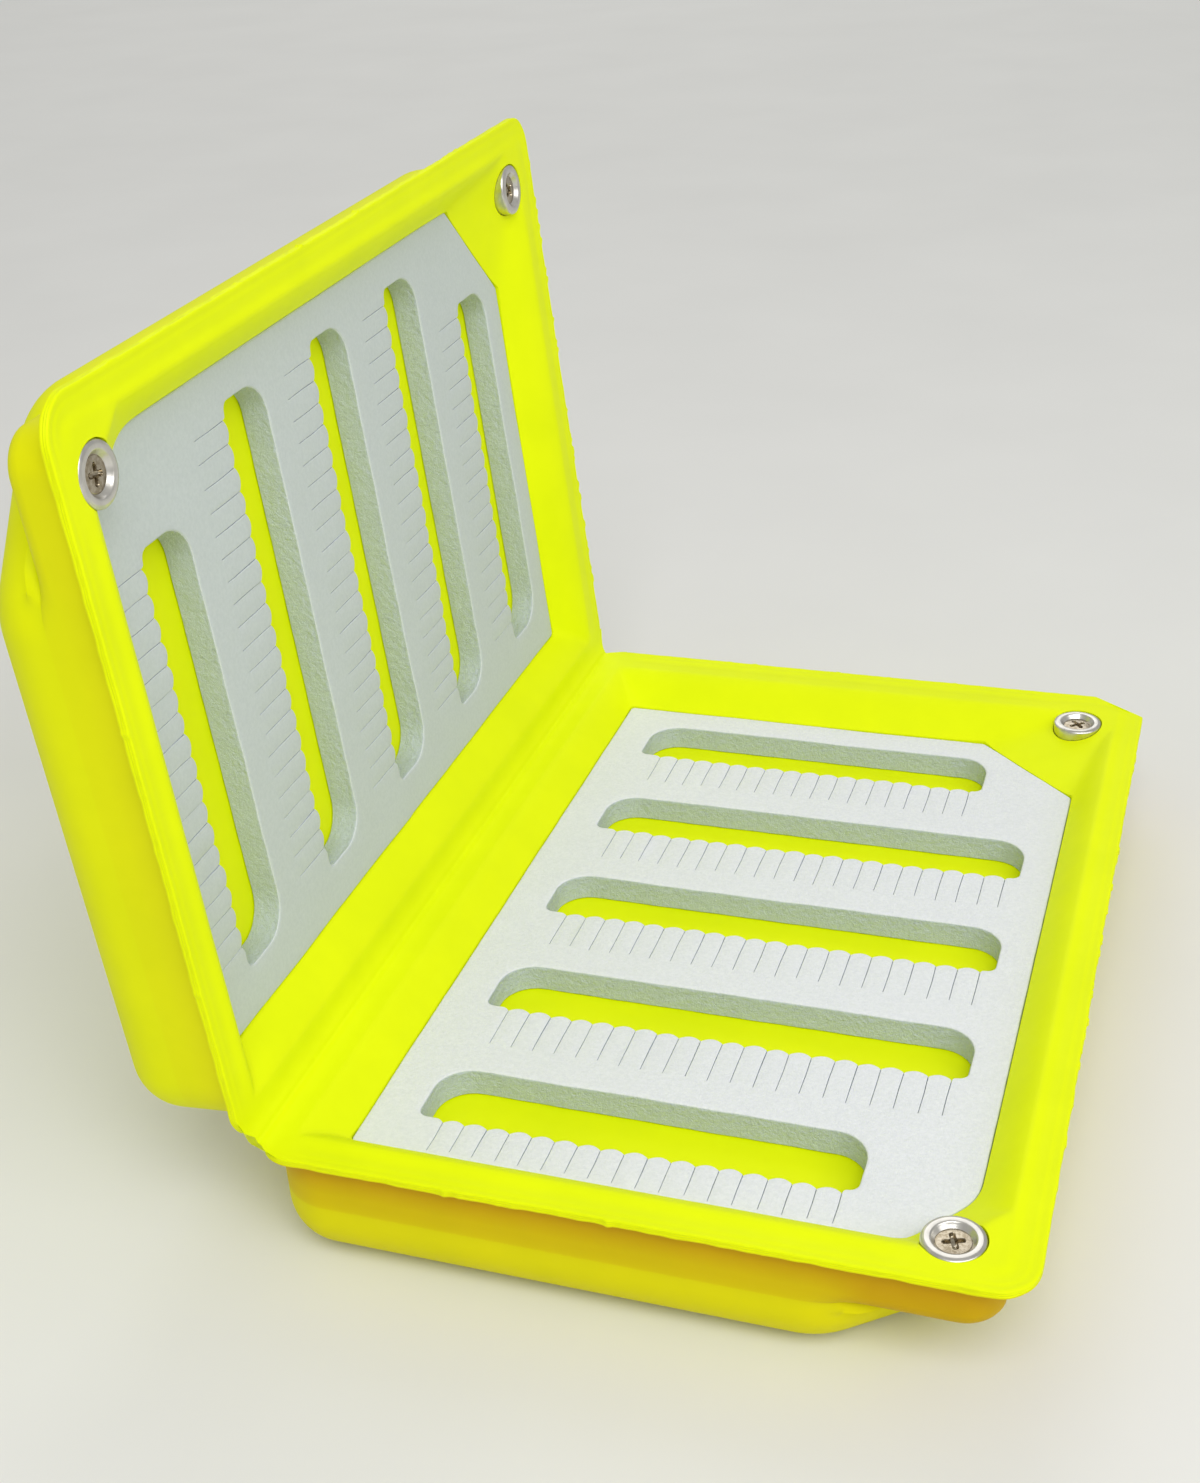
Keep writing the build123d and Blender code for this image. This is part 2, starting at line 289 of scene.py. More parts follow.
@dataclass(frozen=True)
class TraySizes:
    """A tray's sizes in millimetres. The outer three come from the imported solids."""

    width: float
    length: float
    depth: float
    rim_clearance: float = 0.15
    lip: float = 1.2  # thickness of the die-cut lip
    lip_reach: float = 1.2
    lip_free_reach: float = 4.0
    lip_free_radius: float = 5.5
    lip_hinge_radius: float = 5.0
    wall_hinge_radius: float = 8.0
    wall_free_radius: float = 5.0
    wall_cut_radius: float = 12.0
    underside_radius: float = 7.5
    boss_depth: float = 8.2
    boss_radius: float = 2.5
    boss_span: tuple[float, float] = (21.0, 16.5)
    margin_hinge: float = 9.35
    margin_free: float = 9.5
    margin_front: float = 10.4
    margin_back: float = 13.8
    front_cut: tuple[float, float] = (7.7, 9.4)  # of the insert, beside the front magnet
    back_cut: tuple[float, float] = (16.6, 15.3)
    insert_radius: float = 0.8
    front_cut_radius: float = 8.0
    insert_top: float = 4.45
    insert_thickness: float = 4.0
    film: float = 0.2
    magnet_radius: float = 4.0
    magnet_free_inset: float = 10.8
    magnet_front_inset: float = 7.9
    magnet_back_inset: float = 10.3

    def rectangle(self, insets: tuple[float, float, float, float]) -> list[tuple[float, float]]:
        """Corners of the tray's outline moved in from the hinge, front, free and back sides."""
        left, front = insets[0], insets[1]
        right, back = self.width - insets[2], self.length - insets[3]
        return [(left, front), (right, front), (right, back), (left, back)]

    def cut(
        self,
        corners: list[tuple[float, float]],
        front: tuple[float, float],
        back: tuple[float, float],
        radii: tuple[float, ...],
    ) -> Outline:
        """Cut the two free corners of a rectangle off by straight lines.

        Args:
            corners: The rectangle's.
            front: Length of the front cut along u and along y.
            back: The same of the back cut.
            radii: Radius at each of the six corners.

        Returns:
            The six-cornered outline.
        """
        a, b, c, d = corners
        return Outline(
            (
                a,
                (b[0] - front[0], b[1]),
                (b[0], b[1] + front[1]),
                (c[0], c[1] - back[1]),
                (c[0] - back[0], c[1]),
                d,
            ),
            radii,
        )

    def lip_outline(self) -> Outline:
        """Edge of the thin lip. At the hinge it keeps the rims' clearance, elsewhere none."""
        hinge, free = self.lip_hinge_radius, self.lip_free_radius
        corners = self.rectangle((self.rim_clearance, 0.0, 0.0, 0.0))
        return Outline(tuple(corners), (hinge, free, free, hinge))

    def wall_corners(self) -> list[tuple[float, float]]:
        """Corners of the wall under the lip."""
        reach = self.lip_reach
        return self.rectangle((reach, reach, self.lip_free_reach, reach))

    def wall_outline(self) -> Outline:
        """Wall under the lip, out to the magnet bosses."""
        hinge, free = self.wall_hinge_radius, self.wall_free_radius
        return Outline(tuple(self.wall_corners()), (hinge, free, free, hinge))

    def deep_outline(self) -> Outline:
        """Deep tray, with its corners cut back from the bosses."""
        radii = (self.wall_hinge_radius,) + (self.wall_cut_radius,) * 4 + (self.wall_hinge_radius,)
        return self.cut(self.wall_corners(), self.boss_span, self.boss_span, radii)

    def insert_outline(self) -> Outline:
        """Edge of the foam insert."""
        corners = self.rectangle(
            (self.margin_hinge, self.margin_front, self.margin_free, self.margin_back)
        )
        small = self.insert_radius
        radii = (small, small, self.front_cut_radius, small, small, small)
        return self.cut(corners, self.front_cut, self.back_cut, radii)

    def magnet_centres(self) -> dict[str, tuple[float, float]]:
        """Centres of the two magnets, by the end of the tray."""
        u = self.width - self.magnet_free_inset
        return {
            "front": (u, self.magnet_front_inset),
            "back": (u, self.length - self.magnet_back_inset),
        }


def tray_sizes() -> TraySizes:
    """Read the tray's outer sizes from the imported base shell."""
    low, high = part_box("base_shell")
    joint = frame["joints"][0]
    return TraySizes(
        width=(high.x - joint["pos_m"][0]) / MM,
        length=(high.y - low.y) / MM,
        depth=(joint["pos_m"][2] - low.z) / MM,
    )


# --------------------------------------------------------------------------------- mesh helpers


def band_faces(rows: int, columns: int, start: int = 0) -> Indices:
    """Quads between neighbouring rows of points stored row by row, each row a closed line.

    Args:
        rows: Number of rows.
        columns: Points in each row.
        start: Index of the first point.

    Returns:
        Rows of four point indices.
    """
    i = np.arange(rows - 1)[:, None] * columns
    j = np.arange(columns)[None, :]
    after = (j + 1) % columns
    quads = np.stack([i + j, i + after, i + columns + after, i + columns + j], axis=-1)
    return quads.reshape(-1, 4) + start


def capped_faces(rows: int, columns: int) -> list[list[int]]:
    """Quads between closed rows of points, with one flat face on the first and the last row.

    Args:
        rows: Number of rows.
        columns: Points in each row.

    Returns:
        Lists of point indices.
    """
    last = (rows - 1) * columns
    caps = [list(range(columns - 1, -1, -1)), list(range(last, last + columns))]
    return band_faces(rows, columns).tolist() + caps


def circles(
    radius: Array, w: Array, centre: tuple[float, float], count: int, first: float = 0.0
) -> Array:
    """Circles about an axis along w.

    Formula: a point at bearing t on a circle of radius r is (r cos t, r sin t) from the centre.

    Args:
        radius: Radius of each circle.
        w: Depth of each circle.
        centre: Axis in u and y.
        count: Points in each circle.
        first: Bearing of the first point, in radians.

    Returns:
        Array of circles by points by (u, y, w).
    """
    turn = np.linspace(0, 2 * math.pi, count, endpoint=False) + first
    u = centre[0] + radius[:, None] * np.cos(turn)
    y = centre[1] + radius[:, None] * np.sin(turn)
    return np.stack([u, y, np.broadcast_to(w[:, None], u.shape)], axis=-1)


def inside_loop(points: Array, loop: Array) -> NDArray[np.bool_]:
    """Whether points lie inside a closed line, by counting crossings of a ray along +u.

    Args:
        points: Rows of u and y.
        loop: The line's points.

    Returns:
        A truth value for each point.
    """
    a, b = loop, np.roll(loop, -1, axis=0)
    y = points[:, 1][:, None]
    spans = (a[:, 1] > y) != (b[:, 1] > y)
    rise = np.where(np.abs(b[:, 1] - a[:, 1]) < TINY, TINY, b[:, 1] - a[:, 1])
    cross = a[:, 0] + (y - a[:, 1]) * (b[:, 0] - a[:, 0]) / rise
    return (np.sum(spans & (cross > points[:, 0][:, None]), axis=1) % 2).astype(bool)


def distance_to(points: Array, loop: Array) -> Array:
    """Distance from points to the nearest segment of a closed line.

    Args:
        points: Rows of u and y.
        loop: The line's points.

    Returns:
        A distance for each point.
    """
    a, b = loop, np.roll(loop, -1, axis=0)
    d = b - a
    t = ((points[:, None, :] - a) * d).sum(-1) / np.maximum((d * d).sum(-1), TINY)
    nearest = a + np.clip(t, 0.0, 1.0)[..., None] * d
    return np.sqrt(((points[:, None, :] - nearest) ** 2).sum(-1)).min(1)


def fill_between(points: Array, loops: list[Indices], loose: Indices) -> Indices:
    """Triangles between an outer loop and the holes in it.

    Formula: constrained Delaunay triangles of the loops and loose points, less those whose
    middle lies outside the first loop or inside another.

    Args:
        points: All the piece's points.
        loops: Point indices of the outer loop, then of each hole.
        loose: Indices of further points inside the area.

    Returns:
        Triangles with anticlockwise corners.
    """
    index = np.concatenate([*loops, loose])
    flat = points[index, :2]
    edges, first = [], 0
    for loop in loops:
        around = np.arange(len(loop)) + first
        edges.append(np.column_stack([around, np.roll(around, -1)]))
        first += len(loop)
    corners = [Vector(p) for p in flat.tolist()]
    found = delaunay_2d_cdt(corners, np.vstack(edges).tolist(), [], 0, SAME_POINT)
    origin = [source[0] for source in found[3]]
    triangles = np.array([[origin[v] for v in face] for face in found[2]])
    middle = flat[triangles].mean(axis=1)
    keep = inside_loop(middle, points[loops[0], :2])
    for hole in loops[1:]:
        keep &= ~inside_loop(middle, points[hole, :2])
    triangles = triangles[keep]
    a, b, c = flat[triangles[:, 0]], flat[triangles[:, 1]], flat[triangles[:, 2]]
    turn = (b[:, 0] - a[:, 0]) * (c[:, 1] - a[:, 1]) - (b[:, 1] - a[:, 1]) * (c[:, 0] - a[:, 0])
    triangles = np.where(turn[:, None] > 0, triangles, triangles[:, ::-1])
    return index[triangles]


def closed_sheet(bands: list[Array], loose: Array) -> tuple[Array, list[list[int]]]:
    """Close the cut walls of a sheet by a face above and a face below.

    Args:
        bands: Walls as rows by points by (u, y, w), the top row first: the sheet's outer edge,
            then each hole.
        loose: Rows of u, y and w that the upper face also passes through.

    Returns:
        The sheet's points, the loose ones last, and its faces.
    """
    faces, tops, bottoms = [], [], []
    start = 0
    for number, band in enumerate(bands):
        count, columns = band.shape[:2]
        quads = band_faces(count, columns, start)
        faces += (quads if number == 0 else quads[:, ::-1]).tolist()
        tops.append(start + np.arange(columns))
        bottoms.append(start + (count - 1) * columns + np.arange(columns))
        start += count * columns
    points = np.vstack([band.reshape(-1, 3) for band in bands] + [loose])
    above = fill_between(points, tops, start + np.arange(len(loose)))
    below = fill_between(points, bottoms, np.arange(0))
    return points, faces + above[:, ::-1].tolist() + below.tolist()


def make_piece(
    name: str, points: Array, faces: list[list[int]], material: bpy.types.Material, sharp: float
) -> bpy.types.Object:
    """Put points and faces into a new object at the origin, smooth up to a sharpness angle.

    Args:
        name: Object's name.
        points: Rows of x, y and z in metres.
        faces: Lists of point indices, anticlockwise from outside.
        material: Finish of the whole piece.
        sharp: Angle in degrees past which an edge stays crisp.

    Returns:
        The new object.
    """
    mesh = bpy.data.meshes.new(name)
    mesh.from_pydata(points.tolist(), [], faces)
    mesh.validate()
    mesh.update()
    piece = bpy.data.objects.new(name, mesh)
    bpy.context.scene.collection.objects.link(piece)
    mesh.materials.append(material)
    mesh.shade_smooth()
    mesh.set_sharp_from_angle(angle=math.radians(sharp))
    return piece


def paint(piece: bpy.types.Object, values: Array) -> None:
    """Store one number for each point, from 0 to 1: the finish's colour multiplier, partly painted
    shade, and its relief follow it.
    """
    layer = piece.data.attributes.new("tint_and_painted_shade", "FLOAT", "POINT")
    layer.data.foreach_set("value", values.astype(np.float32))


def cut_away(piece: bpy.types.Object, cutters: list[bpy.types.Object], sharp: float) -> None:
    """Subtract closed cutters from a piece, apply the result and remove the cutters.

    Args:
        piece: Closed mesh that is cut.
        cutters: Closed meshes to take away.
        sharp: Angle in degrees past which an edge stays crisp.
    """
    for cutter in cutters:
        modifier = piece.modifiers.new("pocket", "BOOLEAN")
        modifier.operation = "DIFFERENCE"
        modifier.solver = "EXACT"
        modifier.object = cutter
    graph = bpy.context.evaluated_depsgraph_get()
    mesh = bpy.data.meshes.new_from_object(piece.evaluated_get(graph))
    piece.modifiers.clear()
    piece.data = mesh
    mesh.shade_smooth()
    mesh.set_sharp_from_angle(angle=math.radians(sharp))
    for cutter in cutters:
        bpy.data.objects.remove(cutter)


@dataclass(frozen=True)
class TrayPart:
    """Anything that one tray carries."""

    place: TrayPlace
    sizes: TraySizes

    def make(
        self,
        kind: str,
        points: Array,
        faces: list[list[int]],
        material: bpy.types.Material,
        sharp: float,
    ) -> bpy.types.Object:
        """Make a piece from points in the tray's own coordinates.

        Args:
            kind: Piece's name, after the tray's.
            points: Array of any shape by (u, y, w), in millimetres.
            faces: Lists of point indices, anticlockwise from outside where nothing is mirrored.
                Where the tray's coordinates are, the faces are turned round.
            material: Finish of the whole piece.
            sharp: Angle in degrees past which an edge stays crisp.

        Returns:
            The new object.
        """
        if self.place.outward < 0:
            faces = [face[::-1] for face in faces]
        name = f"{self.place.side.value}_{kind}"
        return make_piece(name, self.place.to_row(points.reshape(-1, 3)), faces, material, sharp)

    def finish(self, piece: bpy.types.Object, slot: str, node: str) -> None:
        """Ride a piece on the tray's body and hide the imported node it stands for.

        Args:
            piece: The finished piece.
            slot: The record's name for its material; not used.
            node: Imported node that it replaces, after the tray's name.
        """
        body = self.place.side.value
        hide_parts(f"{body}_{node}")
        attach(piece, body)
        LOG.info("%s: %d faces, on %s", piece.name, len(piece.data.polygons), body)


# ------------------------------------------------------------------------------------ materials


Sockets = dict[int | str, bpy.types.NodeSocket]


class NodeBench:
    """One material's nodes. Every node is added by the same small method."""

    def __init__(self, name: str) -> None:
        """Start a material with its output, its shader and the piece's own coordinates.

        Args:
            name: The material's.
        """
        self.material = bpy.data.materials.new(name)
        self.material.use_nodes = True
        self.tree = self.material.node_tree
        self.tree.nodes.clear()
        self.shader = self.add("BsdfPrincipled")
        self.add("OutputMaterial", {"Surface": self.shader.outputs["BSDF"]})
        self.place = self.add("TexCoord").outputs["Object"]

    def add(
        self,
        kind: str,
        links: Sockets | None = None,
        values: dict[int | str, object] | None = None,
        stops: dict[float, str] | None = None,
        **settings: object,
    ) -> bpy.types.Node:
        """Add a node.

        Args:
            kind: The part of the node's type after ShaderNode.
            links: Sockets to join to its inputs, by the input's name or number.
            values: Values for its unlinked inputs.
            stops: Hex colours of a colour ramp by position.
            settings: Properties of the node itself.

        Returns:
            The new node.
        """
        node = self.tree.nodes.new("ShaderNode" + kind)
        for key, value in settings.items():
            setattr(node, key, value)
        for key, value in (values or {}).items():
            node.inputs[key].default_value = value
        for key, socket in (links or {}).items():
            self.tree.links.new(socket, node.inputs[key])
        for index, (position, code) in enumerate((stops or {}).items()):
            elements = node.color_ramp.elements
            element = elements[index] if index < 2 else elements.new(position)
            element.position = position
            element.color = hex_to_linear(code)
        return node

    def finish(self, links: Sockets, values: dict[int | str, object]) -> bpy.types.Material:
        """Join the shader's sockets and set its constants.

        Args:
            links: Sockets to join to the shader's inputs.
            values: Constants, set on the shader's own sockets.

        Returns:
            The material.
        """
        for key, socket in links.items():
            self.tree.links.new(socket, self.shader.inputs[key])
        for key, value in values.items():
            self.shader.inputs[key].default_value = value
        return self.material


@dataclass(frozen=True)
class Pattern:
    """A noise pattern with features of a real size."""

    size_mm: float
    detail: float = 2.0
    roughness: float = 0.5

    def values(self) -> dict[int | str, object]:
        """Settings for a noise node in metres."""
        scale = 1.0 / (self.size_mm * MM)
        return {"Scale": scale, "Detail": self.detail, "Roughness": self.roughness}


@dataclass(frozen=True)
class Finish:
    """What all finishes share: two colours, a patch of gloss and two sizes of relief."""

    name: str
    colour: str
    second: str
    mottle: Pattern
    gloss: Pattern
    gloss_range: tuple[float, float]
    grain: Pattern
    grain_depth_mm: float
    swell: Pattern
    swell_depth_mm: float
    metallic: float = 0.0
    ior: float = 1.5
    specular: float = 0.5
    tint_and_painted_shade: tuple[str, str, str] = ("#FFFFFF",) * 3  # multiplies the colour at paint 0, 0.5 and 1; partly painted shade
    relief: tuple[float, float] = (0.6, 0.6)  # strength of the grain at paint 0 and 1
    mottle_range: tuple[float, float] = (0.35, 0.65)  # of the noise, from one colour to the other
    swell_strength: float = 0.4

    def material(self) -> bpy.types.Material:
        """Build the finish: mottled colour times a painted multiplier that is partly painted
        shade, uneven gloss, fine relief over a slow swell.

        Returns:
            The material.
        """
        bench = NodeBench(self.name)
        at = {"Vector": bench.place}
        mottle = bench.add("TexNoise", at, self.mottle.values())
        stops = dict(zip(self.mottle_range, (self.second, self.colour)))
        colour = bench.add("ValToRGB", {"Fac": mottle.outputs["Fac"]}, stops=stops)
        gloss = bench.add("TexNoise", at, self.gloss.values())
        low, high = self.gloss_range
        spread = bench.add(
            "MapRange", {"Value": gloss.outputs["Fac"]}, {"To Min": low, "To Max": high}
        )
        # Painted shade: the number picks a darker, warmer colour on the trays' walls and a greyer
        # one on the lid's insert skin.
        painted = bench.add("Attribute", attribute_name="tint_and_painted_shade").outputs["Fac"]
        stops = dict(zip((0.0, 0.5, 1.0), self.tint_and_painted_shade))
        tint_and_painted_shade = bench.add("ValToRGB", {"Fac": painted}, stops=stops)
        tinted = bench.add(
            "Mix",
            {6: colour.outputs["Color"], 7: tint_and_painted_shade.outputs["Color"]},
            {0: 1.0},
            data_type="RGBA",
            blend_type="MULTIPLY",
        )
        weak, strong = self.relief
        strength = bench.add("MapRange", {"Value": painted}, {"To Min": weak, "To Max": strong})
        grain = bench.add("TexNoise", at, self.grain.values())
        fine = bench.add(
            "Bump",
            {"Height": grain.outputs["Fac"], "Strength": strength.outputs["Result"]},
            {"Distance": self.grain_depth_mm * MM},
        )
        swell = bench.add("TexNoise", at, self.swell.values())
        coarse = bench.add(
            "Bump",
            {"Height": swell.outputs["Fac"], "Normal": fine.outputs["Normal"]},
            {"Distance": self.swell_depth_mm * MM, "Strength": self.swell_strength},
        )
        links = {
            "Base Color": tinted.outputs[2],
            "Roughness": spread.outputs["Result"],
            "Normal": coarse.outputs["Normal"],
        }
        values: dict[int | str, object] = {"Metallic": self.metallic}
        if not self.metallic:
            values |= {"IOR": self.ior, "Specular IOR Level": self.specular}
        return bench.finish(links, values)


def finishes() -> dict[str, Finish]:
    """Finishes by the record's material slots.

    Returns:
        One finish for each slot.
    """
    return {
        # Compression-moulded EVA foam with a closed skin: satin, pebbled by the blasted mould.
        # The pebbles of about 0.2 mm are drawn 0.55 mm wide, or they wouldn't show.
        "moulded_foam": Finish(
            "moulded_eva_foam", colour="#EDFA00", second="#E8F600",
            mottle=Pattern(14.0, 3.0, 0.6), gloss=Pattern(2.5, 3.0), gloss_range=(0.50, 0.62),
            grain=Pattern(0.55), grain_depth_mm=0.03, swell=Pattern(5.0, 1.0), swell_depth_mm=0.03,
            # Painted shade: the second and third colours warm and darken the walls under the lip
            # and down the outside.
            ior=1.42, specular=0.16, tint_and_painted_shade=("#FFFFFF", "#F8E4FF", "#DCA0FF"), relief=(0.2, 1.0),
        ),
        # Skived polyethylene foam sheet: open-celled where cut, finer on its skin, which is greyer
        # on the lid as painted shade.
        # A cut cell is about 0.6 mm wide.
        "insert_foam": Finish(
            "skived_polyethylene_foam", colour="#EDEFF5", second="#E5E8EE",
            mottle=Pattern(0.55, 3.0, 0.7), gloss=Pattern(3.0), gloss_range=(0.66, 0.80),
            grain=Pattern(0.60, 4.0, 0.75), grain_depth_mm=0.42,
            swell=Pattern(5.0, 1.0), swell_depth_mm=0.10,
            # The first colour here is the cut walls' own; the third greys the lid's skin as
            # painted shade.
            ior=1.38, specular=0.4, tint_and_painted_shade=("#DEE7EA", "#FFFFFF", "#D9DFDA"), relief=(1.0, 0.04),
        ),
        # Nickel plate on a sintered magnet, dulled by tumbling: soft highlights, faint dents.
        "nickel_plate": Finish(
            "tumbled_nickel_plate", colour="#DAD7D0", second="#CECBC4", metallic=1.0,
            mottle=Pattern(1.2), gloss=Pattern(0.6, 3.0), gloss_range=(0.24, 0.36),
            grain=Pattern(0.4, 3.0), grain_depth_mm=0.012, swell=Pattern(2.0), swell_depth_mm=0.01,
        ),
        # Cold-headed steel with warm passivated zinc plate: brighter than the magnet, tinted.
        "screw_steel": Finish(
            "yellow_passivated_zinc", colour="#B9AF9C", second="#948872", metallic=1.0,
            mottle=Pattern(0.5), gloss=Pattern(0.3, 3.0), gloss_range=(0.12, 0.24),
            grain=Pattern(0.25), grain_depth_mm=0.01, swell=Pattern(1.0), swell_depth_mm=0.006,
        ),
        # Injection-moulded natural nylon, milky with a low gloss.
        "anchor_plastic": Finish(
            "moulded_natural_nylon", colour="#E6E3D8", second="#D9D5C7", ior=1.53,
            mottle=Pattern(1.5), gloss=Pattern(0.8), gloss_range=(0.35, 0.50),
            grain=Pattern(0.4), grain_depth_mm=0.01, swell=Pattern(2.0), swell_depth_mm=0.02,
        ),
        # Acrylic transfer adhesive, pale with the yellow of the floor showing through.
        "adhesive": Finish(
            "acrylic_transfer_adhesive", colour="#D9E26A", second="#CFD95A", ior=1.47,
            mottle=Pattern(2.0), gloss=Pattern(1.0), gloss_range=(0.25, 0.40),
            grain=Pattern(0.6), grain_depth_mm=0.01, swell=Pattern(3.0), swell_depth_mm=0.02,
        ),
    }


# ------------------------------------------------------------------------------- moulded trays


@dataclass(frozen=True)
class TrayProfile:
    """Shape of a tray's inner face: how deep it lies under the closing plane."""

    sizes: TraySizes
    shelf_share: float = 0.48  # part of each margin that stays flat before the face falls
    fall_power: float = 1.5  # above 1 the face is full beside the shelf and steep at the insert
    foot_drop: float = 0.12  # the foot of the slope lies this far under the insert's top
    front_run: float = 7.0  # length of the slope from the insert's cut edge to the magnet
    back_run: float = 16.0
    corner_power: float = 1.05
    meet_power: float = 5.0  # how tightly neighbouring slopes meet
    side_limit: float = 4.0  # the falls are held past these shares of the way
    corner_limit: float = 6.0
    pinch_in: float = 1.35  # fine line left by the knife's backing plate round the rim
    pinch_width: float = 0.3
    pinch_depth: float = 0.09
    groove_in: float = 3.1
    groove_width: float = 1.25
    groove_depth: float = 0.17
    ridge_at: float = 0.97  # low ridge along the shelf's end, as a share of the shelf's width
    ridge_width: float = 0.16
    ridge_height: float = 0.10
    hinge_plain: float = 3.5  # the lines start this far from the hinge line
    hinge_fade: float = 6.0
    magnet_plain: float = 5.0  # and this far from a magnet's centre
    magnet_fade: float = 4.0
    swell_height: float = 0.03
    swell_lengths: tuple[float, ...] = (23.0, 41.0, 13.7)
    least_depth: float = 0.05

    def drop(self) -> float:
        """Height from the rim down to the foot of the slope."""
        return self.sizes.insert_top + self.foot_drop - self.sizes.rim_clearance

    def side_fall(self, distance: Array, margin: float) -> Array:
        """Fall beside one side: a power of the way from the shelf to the insert's edge.

        Args:
            distance: Distances in from the side.
            margin: The insert's margin at that side.

        Returns:
            How far the face lies under the rim.
        """
        shelf = self.shelf_share * margin
        share = np.clip((distance - shelf) / (margin - shelf), 0.0, self.side_limit)
        return self.drop() * share**self.fall_power

    def corner_fall(self, u: Array, inwards: Array, margin: float, back: bool) -> Array:
        """Fall beside a cut corner of the insert, from the distance to the cut's line.

        Args:
            u: Distances from the hinge line.
            inwards: Distances in from the tray's front or back end.
            margin: The insert's margin at that end.
            back: Whether it is the back corner.

        Returns:
            How far the face lies under the rim.
        """
        s = self.sizes
        cut_u, cut_y = s.back_cut if back else s.front_cut
        start = s.width - s.margin_free - cut_u
        gap = ((u - start) * cut_y - (inwards - margin) * cut_u) / math.hypot(cut_u, cut_y)
        run = self.back_run if back else self.front_run
        share = np.clip(1.0 - gap / run, 0.0, self.corner_limit)
        return self.drop() * share**self.corner_power

    def rim_distance(self, u: Array, y: Array) -> Array:
        """Distance in from the lip's edge: the signed distance of a rounded rectangle.

        Args:
            u: Distances from the hinge line.
            y: Distances from the front end.

        Returns:
            Distances in millimetres, negative outside.
        """
        s = self.sizes
        radius = np.where(u > s.width / 2, s.lip_free_radius, s.lip_hinge_radius)
        qu = np.abs(u - s.width / 2) - (s.width / 2 - radius)
        qy = np.abs(y - s.length / 2) - (s.length / 2 - radius)
        outside = np.hypot(np.maximum(qu, 0), np.maximum(qy, 0))
        return radius - outside - np.minimum(np.maximum(qu, qy), 0)

    def depth(self, u: Array, y: Array) -> Array:
        """Depth of the inner face under the closing plane.

        Formula: the softly smallest of the falls from the four sides and the cut corners, with a
        fine line, a broad groove and a low ridge round the rim that fade at the hinge and beside
        the magnets.

        Args:
            u: Distances from the hinge line.
            y: Distances from the front end.

        Returns:
            Depths in millimetres.
        """
        s = self.sizes
        ends = ((y, s.margin_front), (s.length - y, s.margin_back))
        sides = ((u, s.margin_hinge), (s.width - u, s.margin_free)) + ends
        falls = [self.side_fall(distance, margin) for distance, margin in sides]
        falls += [self.corner_fall(u, *end, back) for end, back in zip(ends, (False, True))]
        face = s.rim_clearance + soft_least(falls, self.meet_power)
        inwards = self.rim_distance(u, y)
        fade = smoothstep((u - self.hinge_plain) / self.hinge_fade)
        for centre in s.magnet_centres().values():
            away = np.hypot(u - centre[0], y - centre[1])
            fade = fade * smoothstep((away - self.magnet_plain) / self.magnet_fade)
        crest = np.min([d / (m * self.shelf_share) for d, m in sides], axis=0)
        pinch = self.pinch_depth * bell(inwards, self.pinch_in, self.pinch_width)
        groove = self.groove_depth * bell(inwards, self.groove_in, self.groove_width)
        ridge = self.ridge_height * bell(crest, self.ridge_at, self.ridge_width)
        swell = self.swell_height * waves(u + 0.6 * y, self.swell_lengths, 1.3)
        return np.maximum(face + fade * (pinch + groove - ridge + swell), self.least_depth)


class RingStack:
    """Closed rings of points, all cut by the same rays from a tray's centre."""

    def __init__(self, centre: Array, angles: Array) -> None:
        """Start without a ring.

        Args:
            centre: Where the rays meet, in u and y.
            angles: Bearings of the rays.
        """
        self.centre = centre
        self.angles = angles
        self.heading = np.column_stack([np.cos(angles), np.sin(angles)])
        self.rings: list[Array] = []
        self.painted_shade: list[Array] = []

    def reach(self, outline: Outline) -> Array:
        """Distances along the rays to an outline."""
        return outline.reach(self.angles, self.centre)

    def add(self, reach: Array, w: Array | float, painted_shade_share: Array | float = 0.0) -> None:
        """Add a ring.

        Args:
            reach: Distances along the rays.
            w: Depth under the closing plane.
            painted_shade_share: Painted shade, a darker and warmer colour, from 0 to 1.
        """
        flat = self.centre + self.heading * reach[:, None]
        self.rings.append(np.column_stack([flat, np.broadcast_to(w, reach.shape)]))
        self.painted_shade.append(np.broadcast_to(painted_shade_share, reach.shape))

    def add_on(self, profile: TrayProfile, reach: Array) -> None:
        """Add a ring on a tray's inner face, at the distances along the rays."""
        flat = self.centre + self.heading * reach[:, None]
        self.add(reach, profile.depth(flat[:, 0], flat[:, 1]))


